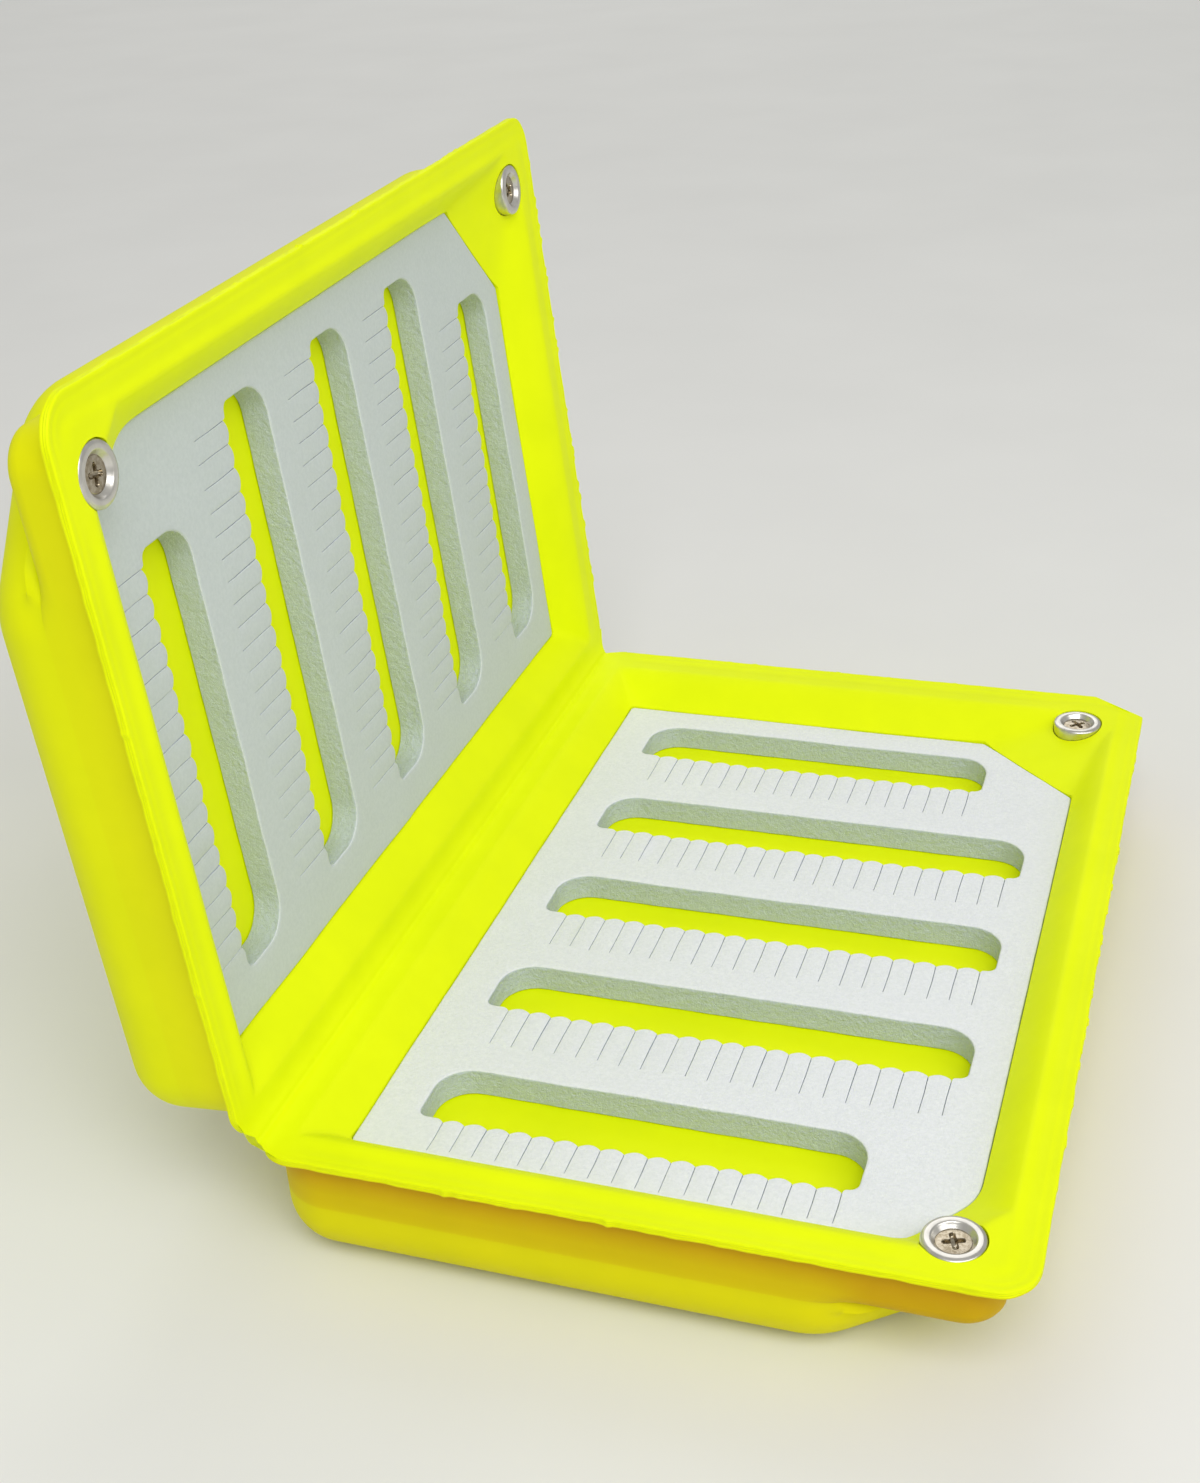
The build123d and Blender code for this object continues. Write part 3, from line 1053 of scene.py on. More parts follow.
@dataclass(frozen=True)
class TrayShell(TrayPart):
    """One moulded tray: inner face, die-cut lip, wall, magnet bosses and deep tray."""

    profile: TrayProfile
    ray_spacing: float = 0.58
    least_turn: float = 0.0009  # least angle between two rays, in radians
    # Foot of the recess: how far in from its wall, and how high over its floor.
    recess_foot: tuple[tuple[float, float], ...] = ((0.5, 0.0), (0.1, 0.05), (0.0, 0.5))
    recess_gap: float = 0.10
    slope_rings: int = 24
    shoulder_in: float = 5.4  # the inner face's rings are the lip's own from here outwards
    rim_rings: tuple[float, float, float] = (5.1, 0.4, -0.3)  # first, end and step, from the edge
    edge_round: float = 0.24
    edge_scores: tuple[float, ...] = (0.07, 0.0, 0.09, 0.02)  # lines that the die drags round it
    score_rows: tuple[float, float] = (0.7, 4.4)  # first line's place, and how many would fit
    edge_drag: float = 0.03
    lip_wander: float = 0.10
    mean_reach: float = 80.0  # turns a bearing into a rough distance round the lip
    trim_depth: float = 0.22  # unevenness of the die-cut edge
    ragged: float = 0.22  # depth of the torn edge between its nibs
    ragged_more: float = 0.45  # and how much more at the lid's back end
    ragged_from: tuple[float, float] = (0.95, 0.1)  # bearing and run of that end's start
    ragged_to: float = 2.2
    nib_count: int = 64
    nib_width: float = 0.0055  # half the width of a nib as a bearing, in radians
    nib_least: float = 0.2  # height of the smallest nib, as a share
    nib_clear: float = 0.075  # no nib stands this near a corner's bearing
    nib_rays: tuple[float, ...] = (-1.5, -0.6, 0.0, 0.6, 1.5)  # rays over a nib, in half widths
    nib_spread: float = 0.97  # share of the half turn either way over which they are scattered
    back_nibs: tuple[float, float] = (1.5, 0.6)  # bearing and half spread at the lid's back end
    snip_start: tuple[float, float] = (8.6, 0.3)  # ends of the snip, in from the back corner
    snip_end: tuple[float, float] = (1.4, 5.4)
    under_lip_round: float = 0.8
    root_limit: tuple[float, float] = (0.5, 0.1)  # at most this share of the overhang, plus this
    boss_run: float = 4.0  # a boss grows from nothing over this much of the wall's overhang
    boss_hollow: float = 1.7  # radius at a boss's foot
    edge_painted_shade: float = 0.1  # painted shade on the cut edge
    root_painted_shade: float = 1.0  # painted shadow in the round under the lip
    wall_painted_shade: tuple[float, float, float] = (0.76, 0.26, 0.16)  # painted shade at the top, its loss downwards, and more on a boss
    painted_shade_rows: int = 6
    side_painted_shade: float = 0.5  # painted shade on the edge's lower corner and the underside
    underside_rings: int = 15
    lid_painted_shade: float = 0.35  # the lid has this share of the base's painted shade
    pocket_clearance: float = 0.10
    pocket_depth: float = 3.15
    pocket_rise: float = 1.0  # the cutter stands this far over the closing plane
    pocket_points: int = 128
    sharp: float = 38.0

    def seed(self) -> float:
        """Makes each tray's torn edge its own."""
        return 2.0 if self.place.side is Side.BASE else 5.0

    def rays(self) -> tuple[Array, Array]:
        """Angles of the rays that every ring of points lies on, and the tray's centre.

        Returns:
            Angles in rising order, some of them on each nib, and the centre.
        """
        centre = np.array([self.sizes.width / 2, self.sizes.length / 2])
        edge = self.sizes.lip_outline().points(self.ray_spacing) - centre
        even = np.arctan2(edge[:, 1], edge[:, 0])
        extra = self.nib_spots()[:, None] + np.array(self.nib_rays) * self.nib_width
        angles = np.sort(np.concatenate([even, extra.ravel()]))
        return angles[np.diff(angles, prepend=-math.pi) > self.least_turn], centre

    def nib_spots(self) -> Array:
        """Bearings of the nibs, off the corners; every other one of the lid's is at its back.

        Returns:
            Bearings in radians.
        """
        spots = scatter(self.nib_count, self.seed()) * math.pi * self.nib_spread
        if self.place.side is Side.LID:
            even = np.arange(self.nib_count) % 2 == 0
            middle, half_spread = self.back_nibs
            spots = np.where(even, spots, middle + half_spread * spots / math.pi)
        corner = math.atan2(self.sizes.length, self.sizes.width)
        from_corner = np.minimum(
            np.abs(np.abs(spots) - corner), np.abs(np.abs(spots) + corner - math.pi)
        )
        return spots[from_corner > self.nib_clear]

    def torn(self, angles: Array) -> Array:
        """How far the torn edge lies in, where no nib is left.

        Formula: the ragged depth, eased up to more of it at the lid's back end, times what the
        bell-shaped nibs leave of it.

        Args:
            angles: Bearings of the rays.

        Returns:
            Distances in millimetres.
        """
        spots = self.nib_spots()
        nibs = np.zeros_like(angles)
        for spot, size in zip(spots, np.abs(scatter(len(spots), self.seed() + 1))):
            nibs += (self.nib_least + size) * bell(angles, spot, self.nib_width)
        ragged: Array | float = self.ragged
        if self.place.side is Side.LID:
            start, run = self.ragged_from
            back = smoothstep((angles - start) / run) * (angles < self.ragged_to)
            ragged = self.ragged + self.ragged_more * back
        return ragged * (1.0 - np.clip(nibs, 0.0, 1.0))

    def snip(self, angles: Array) -> Array:
        """How far a straight snip at the back corner lies inside the lip's outline.

        Formula: a ray meets the snip's line at the line's distance over the cosine between the
        ray and the line's normal.

        Args:
            angles: Bearings of the rays.

        Returns:
            Distances in millimetres, negative where the snip lies outside.
        """
        half = np.array([self.sizes.width, self.sizes.length]) / 2
        start, end = half - np.array(self.snip_start), half - np.array(self.snip_end)
        normal = np.array([start[1] - end[1], end[0] - start[0]])
        facing = np.cos(angles) * normal[0] + np.sin(angles) * normal[1]
        line = np.dot(start, normal) / np.maximum(facing, TINY)
        return np.where(facing > 0, self.sizes.lip_outline().reach(angles, half) - line, 0.0)

    def trim(self, angles: Array) -> Array:
        """How far the cut edge lies inside the lip's outline.

        Formula: a slow wander and the torn edge, or the base's snip where that lies further in.

        Args:
            angles: Bearings of the rays.

        Returns:
            Distances in millimetres, never negative.
        """
        along = angles * (self.sizes.width + self.sizes.length) / math.pi
        wander = 0.5 + 0.5 * waves(along, (61.0, 23.0, 7.3, 3.1), self.seed())
        lie = self.trim_depth * wander + self.torn(angles)
        if self.place.side is Side.BASE:
            lie = np.maximum(lie, self.snip(angles))
        return np.maximum(lie, 0.0)

    def stack(self) -> RingStack:
        """Rings of points from the insert's floor, over the rim, to the edge of the underside.

        Formula: every ring is an outline cut by the same rays from the tray's centre. Rings on
        the inner face take their depth from the profile, rings on the outside from the fillets.

        Returns:
            The stack of rings.
        """
        s = self.sizes
        angles, centre = self.rays()
        stack = RingStack(centre, angles)
        trim = self.trim(angles)
        edge = stack.reach(s.lip_outline()) - trim
        along = angles * self.mean_reach
        bottom = s.rim_clearance + s.lip + self.lip_wander * waves(along, (31.0, 11.0, 4.7), 3.0)
        self.add_inner_face(stack, trim)
        self.add_cut_edge(stack, edge, bottom, along)
        self.add_wall(stack, edge, bottom)
        self.add_underside(stack)
        return stack

    def add_inner_face(self, stack: RingStack, trim: Array) -> None:
        """Add the insert's recess and the slope up to the rim.

        Args:
            stack: Rings so far.
            trim: How far the lip is cut back along each ray, which the rings follow outwards.
        """
        s = self.sizes
        foot = stack.reach(s.insert_outline().inset(-self.recess_gap))
        floor = s.insert_top + s.insert_thickness + s.film
        for inwards, above in self.recess_foot:
            stack.add(foot - inwards, floor - above)
        lip = s.lip_outline()
        shoulder = stack.reach(lip.inset(self.shoulder_in))
        for share in np.linspace(0.0, 1.0, self.slope_rings):
            stack.add_on(self.profile, foot + (shoulder - foot) * share)
        for inwards in np.arange(*self.rim_rings):
            cut_back = trim * (1 - inwards / self.shoulder_in)
            stack.add_on(self.profile, stack.reach(lip.inset(inwards)) - cut_back)

    def add_cut_edge(self, stack: RingStack, edge: Array, bottom: Array, along: Array) -> None:
        """Add the lip's edge: a rounded corner, the die's drag lines and the lower corner.

        Args:
            stack: Rings so far.
            edge: Distances along the rays to the cut edge.
            bottom: Depth of the lip's underside.
            along: Distances round the lip.
        """
        r, top = self.edge_round, self.sizes.rim_clearance
        first, rows = self.score_rows
        for inwards, down in quarter([0.0, 30.0, 60.0, 90.0]):
            stack.add(edge - r * inwards, top + r * down)
        for row, score in enumerate(self.edge_scores):  # evenly down the edge's straight part
            drag = self.edge_drag * waves(along, (9.0, 3.9, 2.3), 7.0 + row)
            w = top + r + (bottom - top - 2 * r) * (row + first) / rows
            stack.add(edge - score + drag, w, self.edge_painted_shade)
        for inwards, up in quarter([90.0, 45.0, 0.0]):
            stack.add(edge - r * inwards, bottom - r * up, self.side_painted_shade)

    def wall_steps(self) -> list[tuple[float, float, float]]:
        """Section of a boss under the wall: a round over its edge, its face and its hollow foot.

        Returns:
            Distance in from the wall, share of the gap to the deep tray to add, and distance down.
        """
        r, hollow = self.sizes.boss_radius, self.boss_hollow
        over = [
            (r * (1 - math.cos(turn)), 0.0, r * math.sin(turn))
            for turn in np.radians([0.0, 22.5, 45.0, 67.5, 90.0])
        ]
        foot = [
            (hollow * out - hollow, 1.0, r + hollow * down)
            for down, out in quarter([90.0, 60.0, 30.0, 0.0])
        ]
        return over + foot

    def add_wall(self, stack: RingStack, edge: Array, bottom: Array) -> None:
        """Add the round under the lip, the wall and the bosses, with painted shade on them.

        Formula: beside a boss the rings follow the boss's section, elsewhere they ease straight
        from the wall to the deep tray.

        Args:
            stack: Rings so far.
            edge: Distances along the rays to the cut edge.
            bottom: Depth of the lip's underside.
        """
        s = self.sizes
        wall = stack.reach(s.wall_outline())
        part, more = self.root_limit
        root = np.minimum(self.under_lip_round, part * (edge - wall) + more)
        for out, down in quarter([0.0, 22.5, 45.0, 67.5, 90.0]):
            stack.add(wall + root * out, bottom + root * down, self.root_painted_shade)
        gap = wall - stack.reach(s.deep_outline())
        boss = smoothstep(gap / self.boss_run)
        steps = self.wall_steps()
        shade_top, shade_loss, shade_boss = self.wall_painted_shade
        for row, (out, whole, down) in enumerate(steps):
            share = smoothstep(np.array(row / (len(steps) - 1)))
            stepped = np.clip(out + gap * whole, 0.0, gap)
            inwards = boss * stepped + (1 - boss) * gap * share
            # Painted shade: darkest at the top of the wall, easing off downwards, more on a boss.
            painted_shade_share = shade_top - shade_loss * share + shade_boss * boss * (row < self.painted_shade_rows)
            stack.add(wall - inwards, s.boss_depth - s.boss_radius + down, painted_shade_share)

    def add_underside(self, stack: RingStack) -> None:
        """Add the deep tray's wall and its large round, down to the flat underside.

        Args:
            stack: Rings so far.
        """
        s = self.sizes
        deep, radius = s.deep_outline(), s.underside_radius
        for up, inwards in quarter(np.linspace(0.0, 90.0, self.underside_rings)):
            w = np.maximum(s.depth - radius * up, s.boss_depth + self.boss_hollow)
            stack.add(stack.reach(deep.inset(radius * inwards)), w, self.side_painted_shade)

    def cutter(
        self, centre: tuple[float, float], material: bpy.types.Material
    ) -> bpy.types.Object:
        """Closed cylinder that cuts one magnet's pocket.

        Args:
            centre: Magnet's centre in u and y.
            material: Finish for the pocket's wall.

        Returns:
            The cutter.
        """
        radius = self.sizes.magnet_radius + self.pocket_clearance
        depths = np.array([self.pocket_depth, -self.pocket_rise])
        points = circles(np.full(2, radius), depths, centre, self.pocket_points)
        faces = [face[::-1] for face in capped_faces(2, self.pocket_points)]
        return self.make("pocket_cutter", points, faces, material, self.sharp)

    def build(self, material: bpy.types.Material) -> None:
        """Make the tray, cut its magnet pockets and put it in place of the CAD shell.

        Args:
            material: Finish of the moulded foam.
        """
        stack = self.stack()
        rings, painted_shade = np.stack(stack.rings), np.stack(stack.painted_shade)
        faces = capped_faces(*rings.shape[:2])
        piece = self.make("moulded_tray", rings, faces, material, self.sharp)
        # Painted shade under the lip and down the walls, weaker on the lid.
        if self.place.side is Side.LID:
            painted_shade = self.lid_painted_shade * painted_shade
        paint(piece, painted_shade.ravel())
        cutters = [self.cutter(c, material) for c in self.sizes.magnet_centres().values()]
        cut_away(piece, cutters, self.sharp)
        self.finish(piece, "moulded_foam", "shell")


@dataclass(frozen=True)
class HingeStrip:
    """The thin strip that folds between the trays, lying flush over both their edges."""

    base: TrayPlace
    lid: TrayPlace
    sizes: TraySizes
    profile: TrayProfile
    half_width: float = 4.4
    fold_reach: float = 3.0  # the soft valley starts this far from the hinge line
    fold_depth: float = 0.12  # depth of the curve's middle control point
    notch: float = 1.9  # how far the strip stops short of the trays' ends at the fold
    notch_round: float = 1.2
    end_margin: float = 0.25
    lap: float = 0.02  # height over the trays, turning to depth at the strip's long edges
    lap_flat: float = 0.4  # share of the half width up to which the lap stays whole
    under_lap: float = 0.03  # height of the outer face over the lips' undersides
    under_run: tuple[float, float] = (0.7, 1.5)  # its flat runs lie this far from the hinge line
    under_sink: float = 0.08  # and end this deep in the lips
    under_half: float = 0.9  # the outer face's ends are as short as the inner face's this far out
    tuck: float = 0.75  # how much further in the underside ends than the inner face
    crease_depth: float = 0.34
    crease_at: float = 0.5  # the first fold's line, on the base's side of the hinge line
    crease_width: float = 0.6
    bend_reach: float = 1.5  # half the zone that bends
    bend_turn: tuple[float, float] = (0.66, 0.72)  # the zone's direction, along and across a tray
    across: int = 41
    along: int = 240
    under: int = 15
    sharp: float = 50.0

    def end_gap(self, s: Array) -> Array:
        """How far in the strip ends, following the lip's rounded corner out from the notch.

        Args:
            s: Distances from the hinge line, positive towards the base.

        Returns:
            Distances in from the trays' ends.
        """
        radius = self.sizes.lip_hinge_radius
        inwards = np.clip(radius - np.abs(s), 0.0, radius)
        corner = radius - np.sqrt(np.maximum(radius**2 - inwards**2, 0.0))
        notch = np.full_like(corner, self.notch)
        return self.end_margin + smooth_min(corner, notch, self.notch_round)

    def lengthwise(self, gap: Array) -> Array:
        """Even places along the hinge, from one end of the strip to the other."""
        v = np.linspace(0.0, 1.0, self.along)[None, :]
        return gap + (self.sizes.length - 2.0 * gap) * v

    def top(self) -> Array:
        """Inner face of the strip.

        Formula: a point at s across lies on the base's inner face at u = s or on the lid's at
        u = -s. Between -fold and +fold the section is a quadratic Bezier curve whose middle
        control point is the hinge line, with a bell-shaped crease pressed outwards into it.

        Returns:
            Array of across by along by (x, y, z) in metres.
        """
        s = np.linspace(self.half_width, -self.half_width, self.across)[:, None]
        y = self.lengthwise(self.end_gap(s))
        held = np.maximum(np.abs(s), self.fold_reach)
        base_point = self.face_point(self.base, held, y, s)
        lid_point = self.face_point(self.lid, held, y, s)
        fixed = np.where(s[..., None] > 0, base_point, lid_point)
        t = (self.fold_reach - s[..., None]) / (2.0 * self.fold_reach)
        line = np.column_stack([np.zeros(y.size), y.ravel(), np.full(y.size, self.fold_depth)])
        hinge = self.base.to_row(line).reshape(y.shape + (3,))
        bend = (1 - t) ** 2 * base_point + 2 * t * (1 - t) * hinge + t**2 * lid_point
        half_open = self.lid.angle / 2
        outwards = -np.array([math.cos(half_open), 0.0, math.sin(half_open)])
        crease = self.crease_depth * bell(s, self.crease_at, self.crease_width)
        bend = bend + (crease * MM)[..., None] * outwards
        return np.where(np.abs(s[..., None]) >= self.fold_reach, fixed, bend)

    def face_point(self, place: TrayPlace, u: Array, y: Array, s: Array) -> Array:
        """Points on a tray's inner face, lifted by the lap that fades to the strip's edges.

        Formula: the lap times the cosine of half a turn times the cube of the share of the way
        to the strip's edge, the share held from its flat part up.

        Args:
            place: The tray's.
            u: Distances from the hinge line.
            y: Distances from the front end.
            s: Distances across the strip.

        Returns:
            Array of across by along by (x, y, z) in metres.
        """
        u, y = np.broadcast_arrays(u, y)
        share = np.clip(np.abs(s) / self.half_width, self.lap_flat, 1.0)
        rise = self.lap * np.cos(math.pi * share**3)
        depth = self.profile.depth(u.ravel(), y.ravel()) - np.broadcast_to(rise, u.shape).ravel()
        flat = np.column_stack([u.ravel(), y.ravel(), depth])
        return place.to_row(flat).reshape(u.shape + (3,))

    def bottom(self) -> Array:
        """Outer face of the strip.

        Formula: an arc about the hinge line, from the base lip's underside to the lid's, run out
        flat under each lip.

        Returns:
            Array of under by along by (x, y, z) in metres, from the lid to the base.
        """
        radius = self.sizes.rim_clearance + self.sizes.lip + self.under_lap
        start, end = -math.pi / 2, self.lid.angle + math.pi / 2 - 2 * math.pi
        turn = np.linspace(end, start, self.under - 4)
        fold = np.column_stack([np.cos(turn), np.sin(turn)]) * radius
        (near, far), sunk = self.under_run, radius - self.under_sink
        base_run = np.array([[near, -radius], [far, -sunk]])
        axis = np.array([math.cos(self.lid.angle), math.sin(self.lid.angle)])
        out = np.array([-axis[1], axis[0]])
        lid_run = np.array([far * axis + out * sunk, near * axis + out * radius])
        section = np.vstack([lid_run, fold, base_run])
        across = np.linspace(-self.under_half, self.under_half, len(section))
        y = self.lengthwise(self.end_gap(across)[:, None] + self.tuck)
        x = np.broadcast_to(self.base.hinge_x + section[:, :1], y.shape)
        z = np.broadcast_to(self.base.closing_z + section[:, 1:], y.shape)
        return np.stack([x, self.base.front_y + y, z], axis=-1) * MM

    def build(self, material: bpy.types.Material) -> None:
        """Make the strip, shaped in its bend between the two open trays.

        Args:
            material: Finish of the moulded foam.
        """
        section = np.concatenate([self.top(), self.bottom()])[::-1]
        points = section.transpose(1, 0, 2)
        faces = capped_faces(*points.shape[:2])
        piece = make_piece("hinge_strip", points.reshape(-1, 3), faces, material, self.sharp)
        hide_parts("hinge_web")
        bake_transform(piece)
        LOG.info("hinge_strip: %d faces, bends between the trays", len(piece.data.polygons))


# ------------------------------------------------------------------------------- foam inserts


@dataclass(frozen=True)
class SlotSizes:
    """The row of slots in an insert, in millimetres."""

    pitch: float = 25.3
    width: float = 10.6
    first_front: float = 7.3  # insert's front edge to the first slot
    hinge_margin: float = 6.65
    free_margin: float = 5.1
    short_margin: float = 14.8
    back_radius: float = 5.0
    front_radius: float = 1.3
    slit_pitch: float = 3.175  # one eighth of an inch
    slit_start: float = 3.9  # slot's hinge end to the first slit
    slit_end: float = 1.4  # least distance from the last slit to the slot's free end
    slit_length: float = 8.3
    slit_land: float = 0.75  # foam left between a slit's end and the sheet's edge
    slit_width: float = 0.07
    slit_spread: float = 0.035  # share by which the slits' lengths differ, either way
    slit_shift: float = 0.07  # how far a slit strays along the slot
    slit_bow: float = 0.09
    slit_bend: tuple[float, ...] = (0.0, 1.0, 0.3)  # share of the bow at mouth, middle and end
    slit_taper: tuple[float, ...] = (1.0, 1.0, 0.7)  # share of the width there
    slit_mouth: float = 0.35  # its first points lie this far under its mouth
    slit_point: float = 0.12  # and its point this far past its length
    first_gap: float = 0.3  # corner to the first crest
    last_step: tuple[float, float] = (0.2, 0.4)  # point after the last slit, along and up
    back_wander: float = 0.05  # unevenness of the slot's back wall
    back_points: int = 120
    scallop: float = 0.68  # height of each crest over the mouths of its slits
    count: int = 5


@dataclass(frozen=True)
class Contour:
    """Closed line of points with the edge rounding at each."""

    points: Array
    rounding: Array


class Pen:
    """Draws a contour from lines and arcs."""

    SMALL, FEW, MANY = 2.0, 7, 17  # a corner under the small radius has few points

    def __init__(self) -> None:
        """Start with an empty line."""
        self.parts: list[Array] = []
        self.rounds: list[Array] = []

    def line(self, u: Array, y: Array, rounding: float) -> None:
        """Add points in a row, all with one edge rounding."""
        self.parts.append(np.column_stack([u, y]))
        self.rounds.append(np.full(len(u), rounding))

    def corner(self, u: float, y: float, radius: float, start: float, rounding: float) -> None:
        """Add a quarter circle about (u, y), anticlockwise from a bearing in degrees."""
        count = self.FEW if radius < self.SMALL else self.MANY
        turn = np.radians(np.linspace(start, start + 90.0, count))
        self.line(u + radius * np.cos(turn), y + radius * np.sin(turn), rounding)

    def contour(self) -> Contour:
        """The line so far, closed."""
        return Contour(np.vstack(self.parts), np.concatenate(self.rounds))


@dataclass(frozen=True)
class FoamInsert(TrayPart):
    """Slotted foam sheet: scallops and slits on the front side of each slot hold the hooks."""

    slots: SlotSizes
    wall_rows: int = 9
    wall_power: float = 1.4  # above 1 the rows are closer together near the top
    edge_round: float = 0.32
    slit_round: float = 0.10
    edge_spacing: float = 1.4  # points of the sheet's outer edge
    knife_wander: float = 0.03
    cell_tear: float = 0.07  # how far torn cells stand out of a wall
    tear_spacing: float = 0.5  # less where the wall's points are nearer together than this
    swell: tuple[float, float] = (0.05, 0.04)  # heights of the sheet's slow unevenness
    finger_spring: float = 0.10
    finger_fade: float = 1.0  # the fingers' lift ends this far behind their crests
    net: float = 1.6  # spacing of the upper face's loose points
    net_margin: float = 1.2
    edge_clear: float = 0.7  # they keep this far from the sheet's edge
    slot_clear: float = 0.45  # and this far from a slot's
    skin_rows: int = 3  # rows of each edge's round that keep the skin's colour, greyer on the lid as painted shade
    sharp: float = 42.0

    def left_end(self) -> float:
        """Slots' end beside the hinge."""
        return self.sizes.margin_hinge + self.slots.hinge_margin

    def right_end(self, index: int) -> float:
        """Slot's end beside the free edge: the first and last slots stop short."""
        s = self.slots
        margin = s.short_margin if index in (0, s.count - 1) else s.free_margin
        return self.sizes.width - self.sizes.margin_free - margin

    def front_edge(self, index: int) -> float:
        """Line through the crests of a slot's scallops."""
        return self.sizes.margin_front + self.slots.first_front + index * self.slots.pitch

    def slits(self, index: int) -> Array:
        """Places of a slot's slits along u."""
        s, left = self.slots, self.left_end()
        room = self.right_end(index) - left - s.slit_start - s.slit_end
        return left + s.slit_start + s.slit_pitch * np.arange(int(room / s.slit_pitch) + 1)

    def draw_crest(
        self, pen: Pen, mouth: float, ends: tuple[float, float], low: tuple[bool, bool]
    ) -> None:
        """Draw the crest of one scallop: 1 - x^2 over its half width.

        Args:
            pen: Draws the slot's contour.
            mouth: Line through the mouths of the slits.
            ends: Start and end of the crest along u.
            low: Whether it comes down to the mouth at its start and at its end.
        """
        x = np.linspace(-1.0, 1.0, 11)
        height = 1.0 - x**2
        height = np.where((x < 0) & (not low[0]), 1.0, height)
        height = np.where((x > 0) & (not low[1]), 1.0, height)
        u = ends[0] + (ends[1] - ends[0]) * (x + 1) / 2
        pen.line(u, mouth + self.slots.scallop * height, self.edge_round)

    def draw_slit(self, pen: Pen, at: float, mouth: float, length: float, bow: float) -> None:
        """Draw one slit: a narrow wedge down to its point and back, a little bowed.

        Args:
            pen: Draws the slot's contour.
            at: Place of its mouth along u.
            mouth: Line through the mouths of the slits.
            length: How far it runs.
            bow: How far it bows to one side.
        """
        s = self.slots
        y = np.array([mouth - s.slit_mouth, mouth - length / 2, mouth - length])
        middle = at + bow * np.array(s.slit_bend)
        taper = s.slit_width / 2 * np.array(s.slit_taper)
        pen.line(middle - taper, y, self.slit_round)
        pen.line(middle[2:], y[2:] - s.slit_point, self.slit_round)
        pen.line(middle[::-1] + taper[::-1], y[::-1], self.slit_round)

    def slot_contour(self, index: int) -> Contour:
        """Outline of one slot, anticlockwise, with its slits.

        Formula: between two slits the edge is a crest; each slit runs down and back as a narrow
        wedge; the corners are quarter circles.

        Args:
            index: Slot's number from the front.

        Returns:
            The contour.
        """
        s, soft = self.slots, self.edge_round
        left, right, crest = self.left_end(), self.right_end(index), self.front_edge(index)
        mouth, back = crest - s.scallop, crest + s.width
        slits = self.slits(index)
        seed = index * 3.1 + (0.0 if self.place.side is Side.BASE else 11.0)
        longest = min(s.slit_length, mouth - self.sizes.margin_front - s.slit_land)
        lengths = longest * (1.0 - s.slit_spread + s.slit_spread * scatter(len(slits), seed))
        edges = slits + s.slit_shift * scatter(len(slits), seed + 0.5)
        bows = s.slit_bow * scatter(len(slits), seed + 0.8)
        small, large, half = s.front_radius, s.back_radius, s.slit_width / 2
        pen = Pen()
        pen.corner(left + small, crest + small, small, 180.0, soft)
        start = left + small + s.first_gap
        for k, (at, length, bow) in enumerate(zip(edges, lengths, bows)):
            self.draw_crest(pen, mouth, (start, at - half), (k > 0, True))
            self.draw_slit(pen, at, mouth, length, bow)
            start = at + half
        step = np.array([[0.0, 0.0], s.last_step])
        pen.line(start + step[:, 0], mouth + step[:, 1], self.slit_round)
        pen.corner(right - small, crest + small, small, 270.0, soft)
        pen.corner(right - large, back - large, large, 0.0, soft)
        run = np.linspace(right - large, left + large, s.back_points)[1:-1]
        pen.line(run, back + s.back_wander * waves(run, (19.0, 7.0), seed), soft)
        pen.corner(left + large, back - large, large, 90.0, soft)
        return pen.contour()

    def outer_contour(self) -> Contour:
        """Edge of the sheet, anticlockwise, a little uneven as a knife leaves it."""
        points = self.sizes.insert_outline().points(self.edge_spacing)
        along = np.arange(len(points)) * self.edge_spacing
        centre = points.mean(axis=0)
        away = (points - centre) / np.linalg.norm(points - centre, axis=1)[:, None]
        inwards = self.knife_wander + self.knife_wander * waves(along, (47.0, 13.0, 5.0), 2.0)
        return Contour(points - away * inwards[:, None], np.full(len(points), self.edge_round))

    def lift(self, u: Array, y: Array) -> Array:
        """How far each finger between two slits has sprung up or down at its tip.

        Formula: a number for each finger, times an ease from the slits' ends to their mouths,
        over the slow unevenness of the whole sheet.

        Args:
            u: Distances from the hinge line.
            y: Distances from the front end.

        Returns:
            Heights in millimetres, positive towards the closing plane.
        """
        s = self.slots
        total = self.swell[0] * waves(u * 0.8 + y, (57.0, 31.0), 4.0)
        total = total + self.swell[1] * waves(y - u, (37.0, 17.0), 1.0)
        seed = 0.3 if self.place.side is Side.LID else 9.0
        for index in range(s.count):
            slits = self.slits(index)
            mouth = self.front_edge(index) - s.scallop
            finger = np.searchsorted(slits, u)
            spring = self.finger_spring * scatter(len(slits) + 1, index + seed)
            reach = smoothstep((y - (mouth - s.slit_length)) / s.slit_length)
            inside = y < mouth + s.scallop + self.finger_fade
            total = total + spring[finger] * reach * inside
        return total

    def offset(self, contour: Contour, share: float, into: int) -> Array:
        """Contour moved into the foam by a share of its rounding.

        Args:
            contour: The line.
            share: Part of the rounding, 0 to 1.
            into: +1 where the foam is on the contour's outer side, -1 where it is inside.

        Returns:
            The moved points.
        """
        points = contour.points
        along = np.roll(points, -1, axis=0) - np.roll(points, 1, axis=0)
        length = np.maximum(np.linalg.norm(along, axis=1), TINY)
        normal = np.column_stack([along[:, 1], -along[:, 0]]) / length[:, None]
        return points + normal * (into * share * contour.rounding)[:, None]

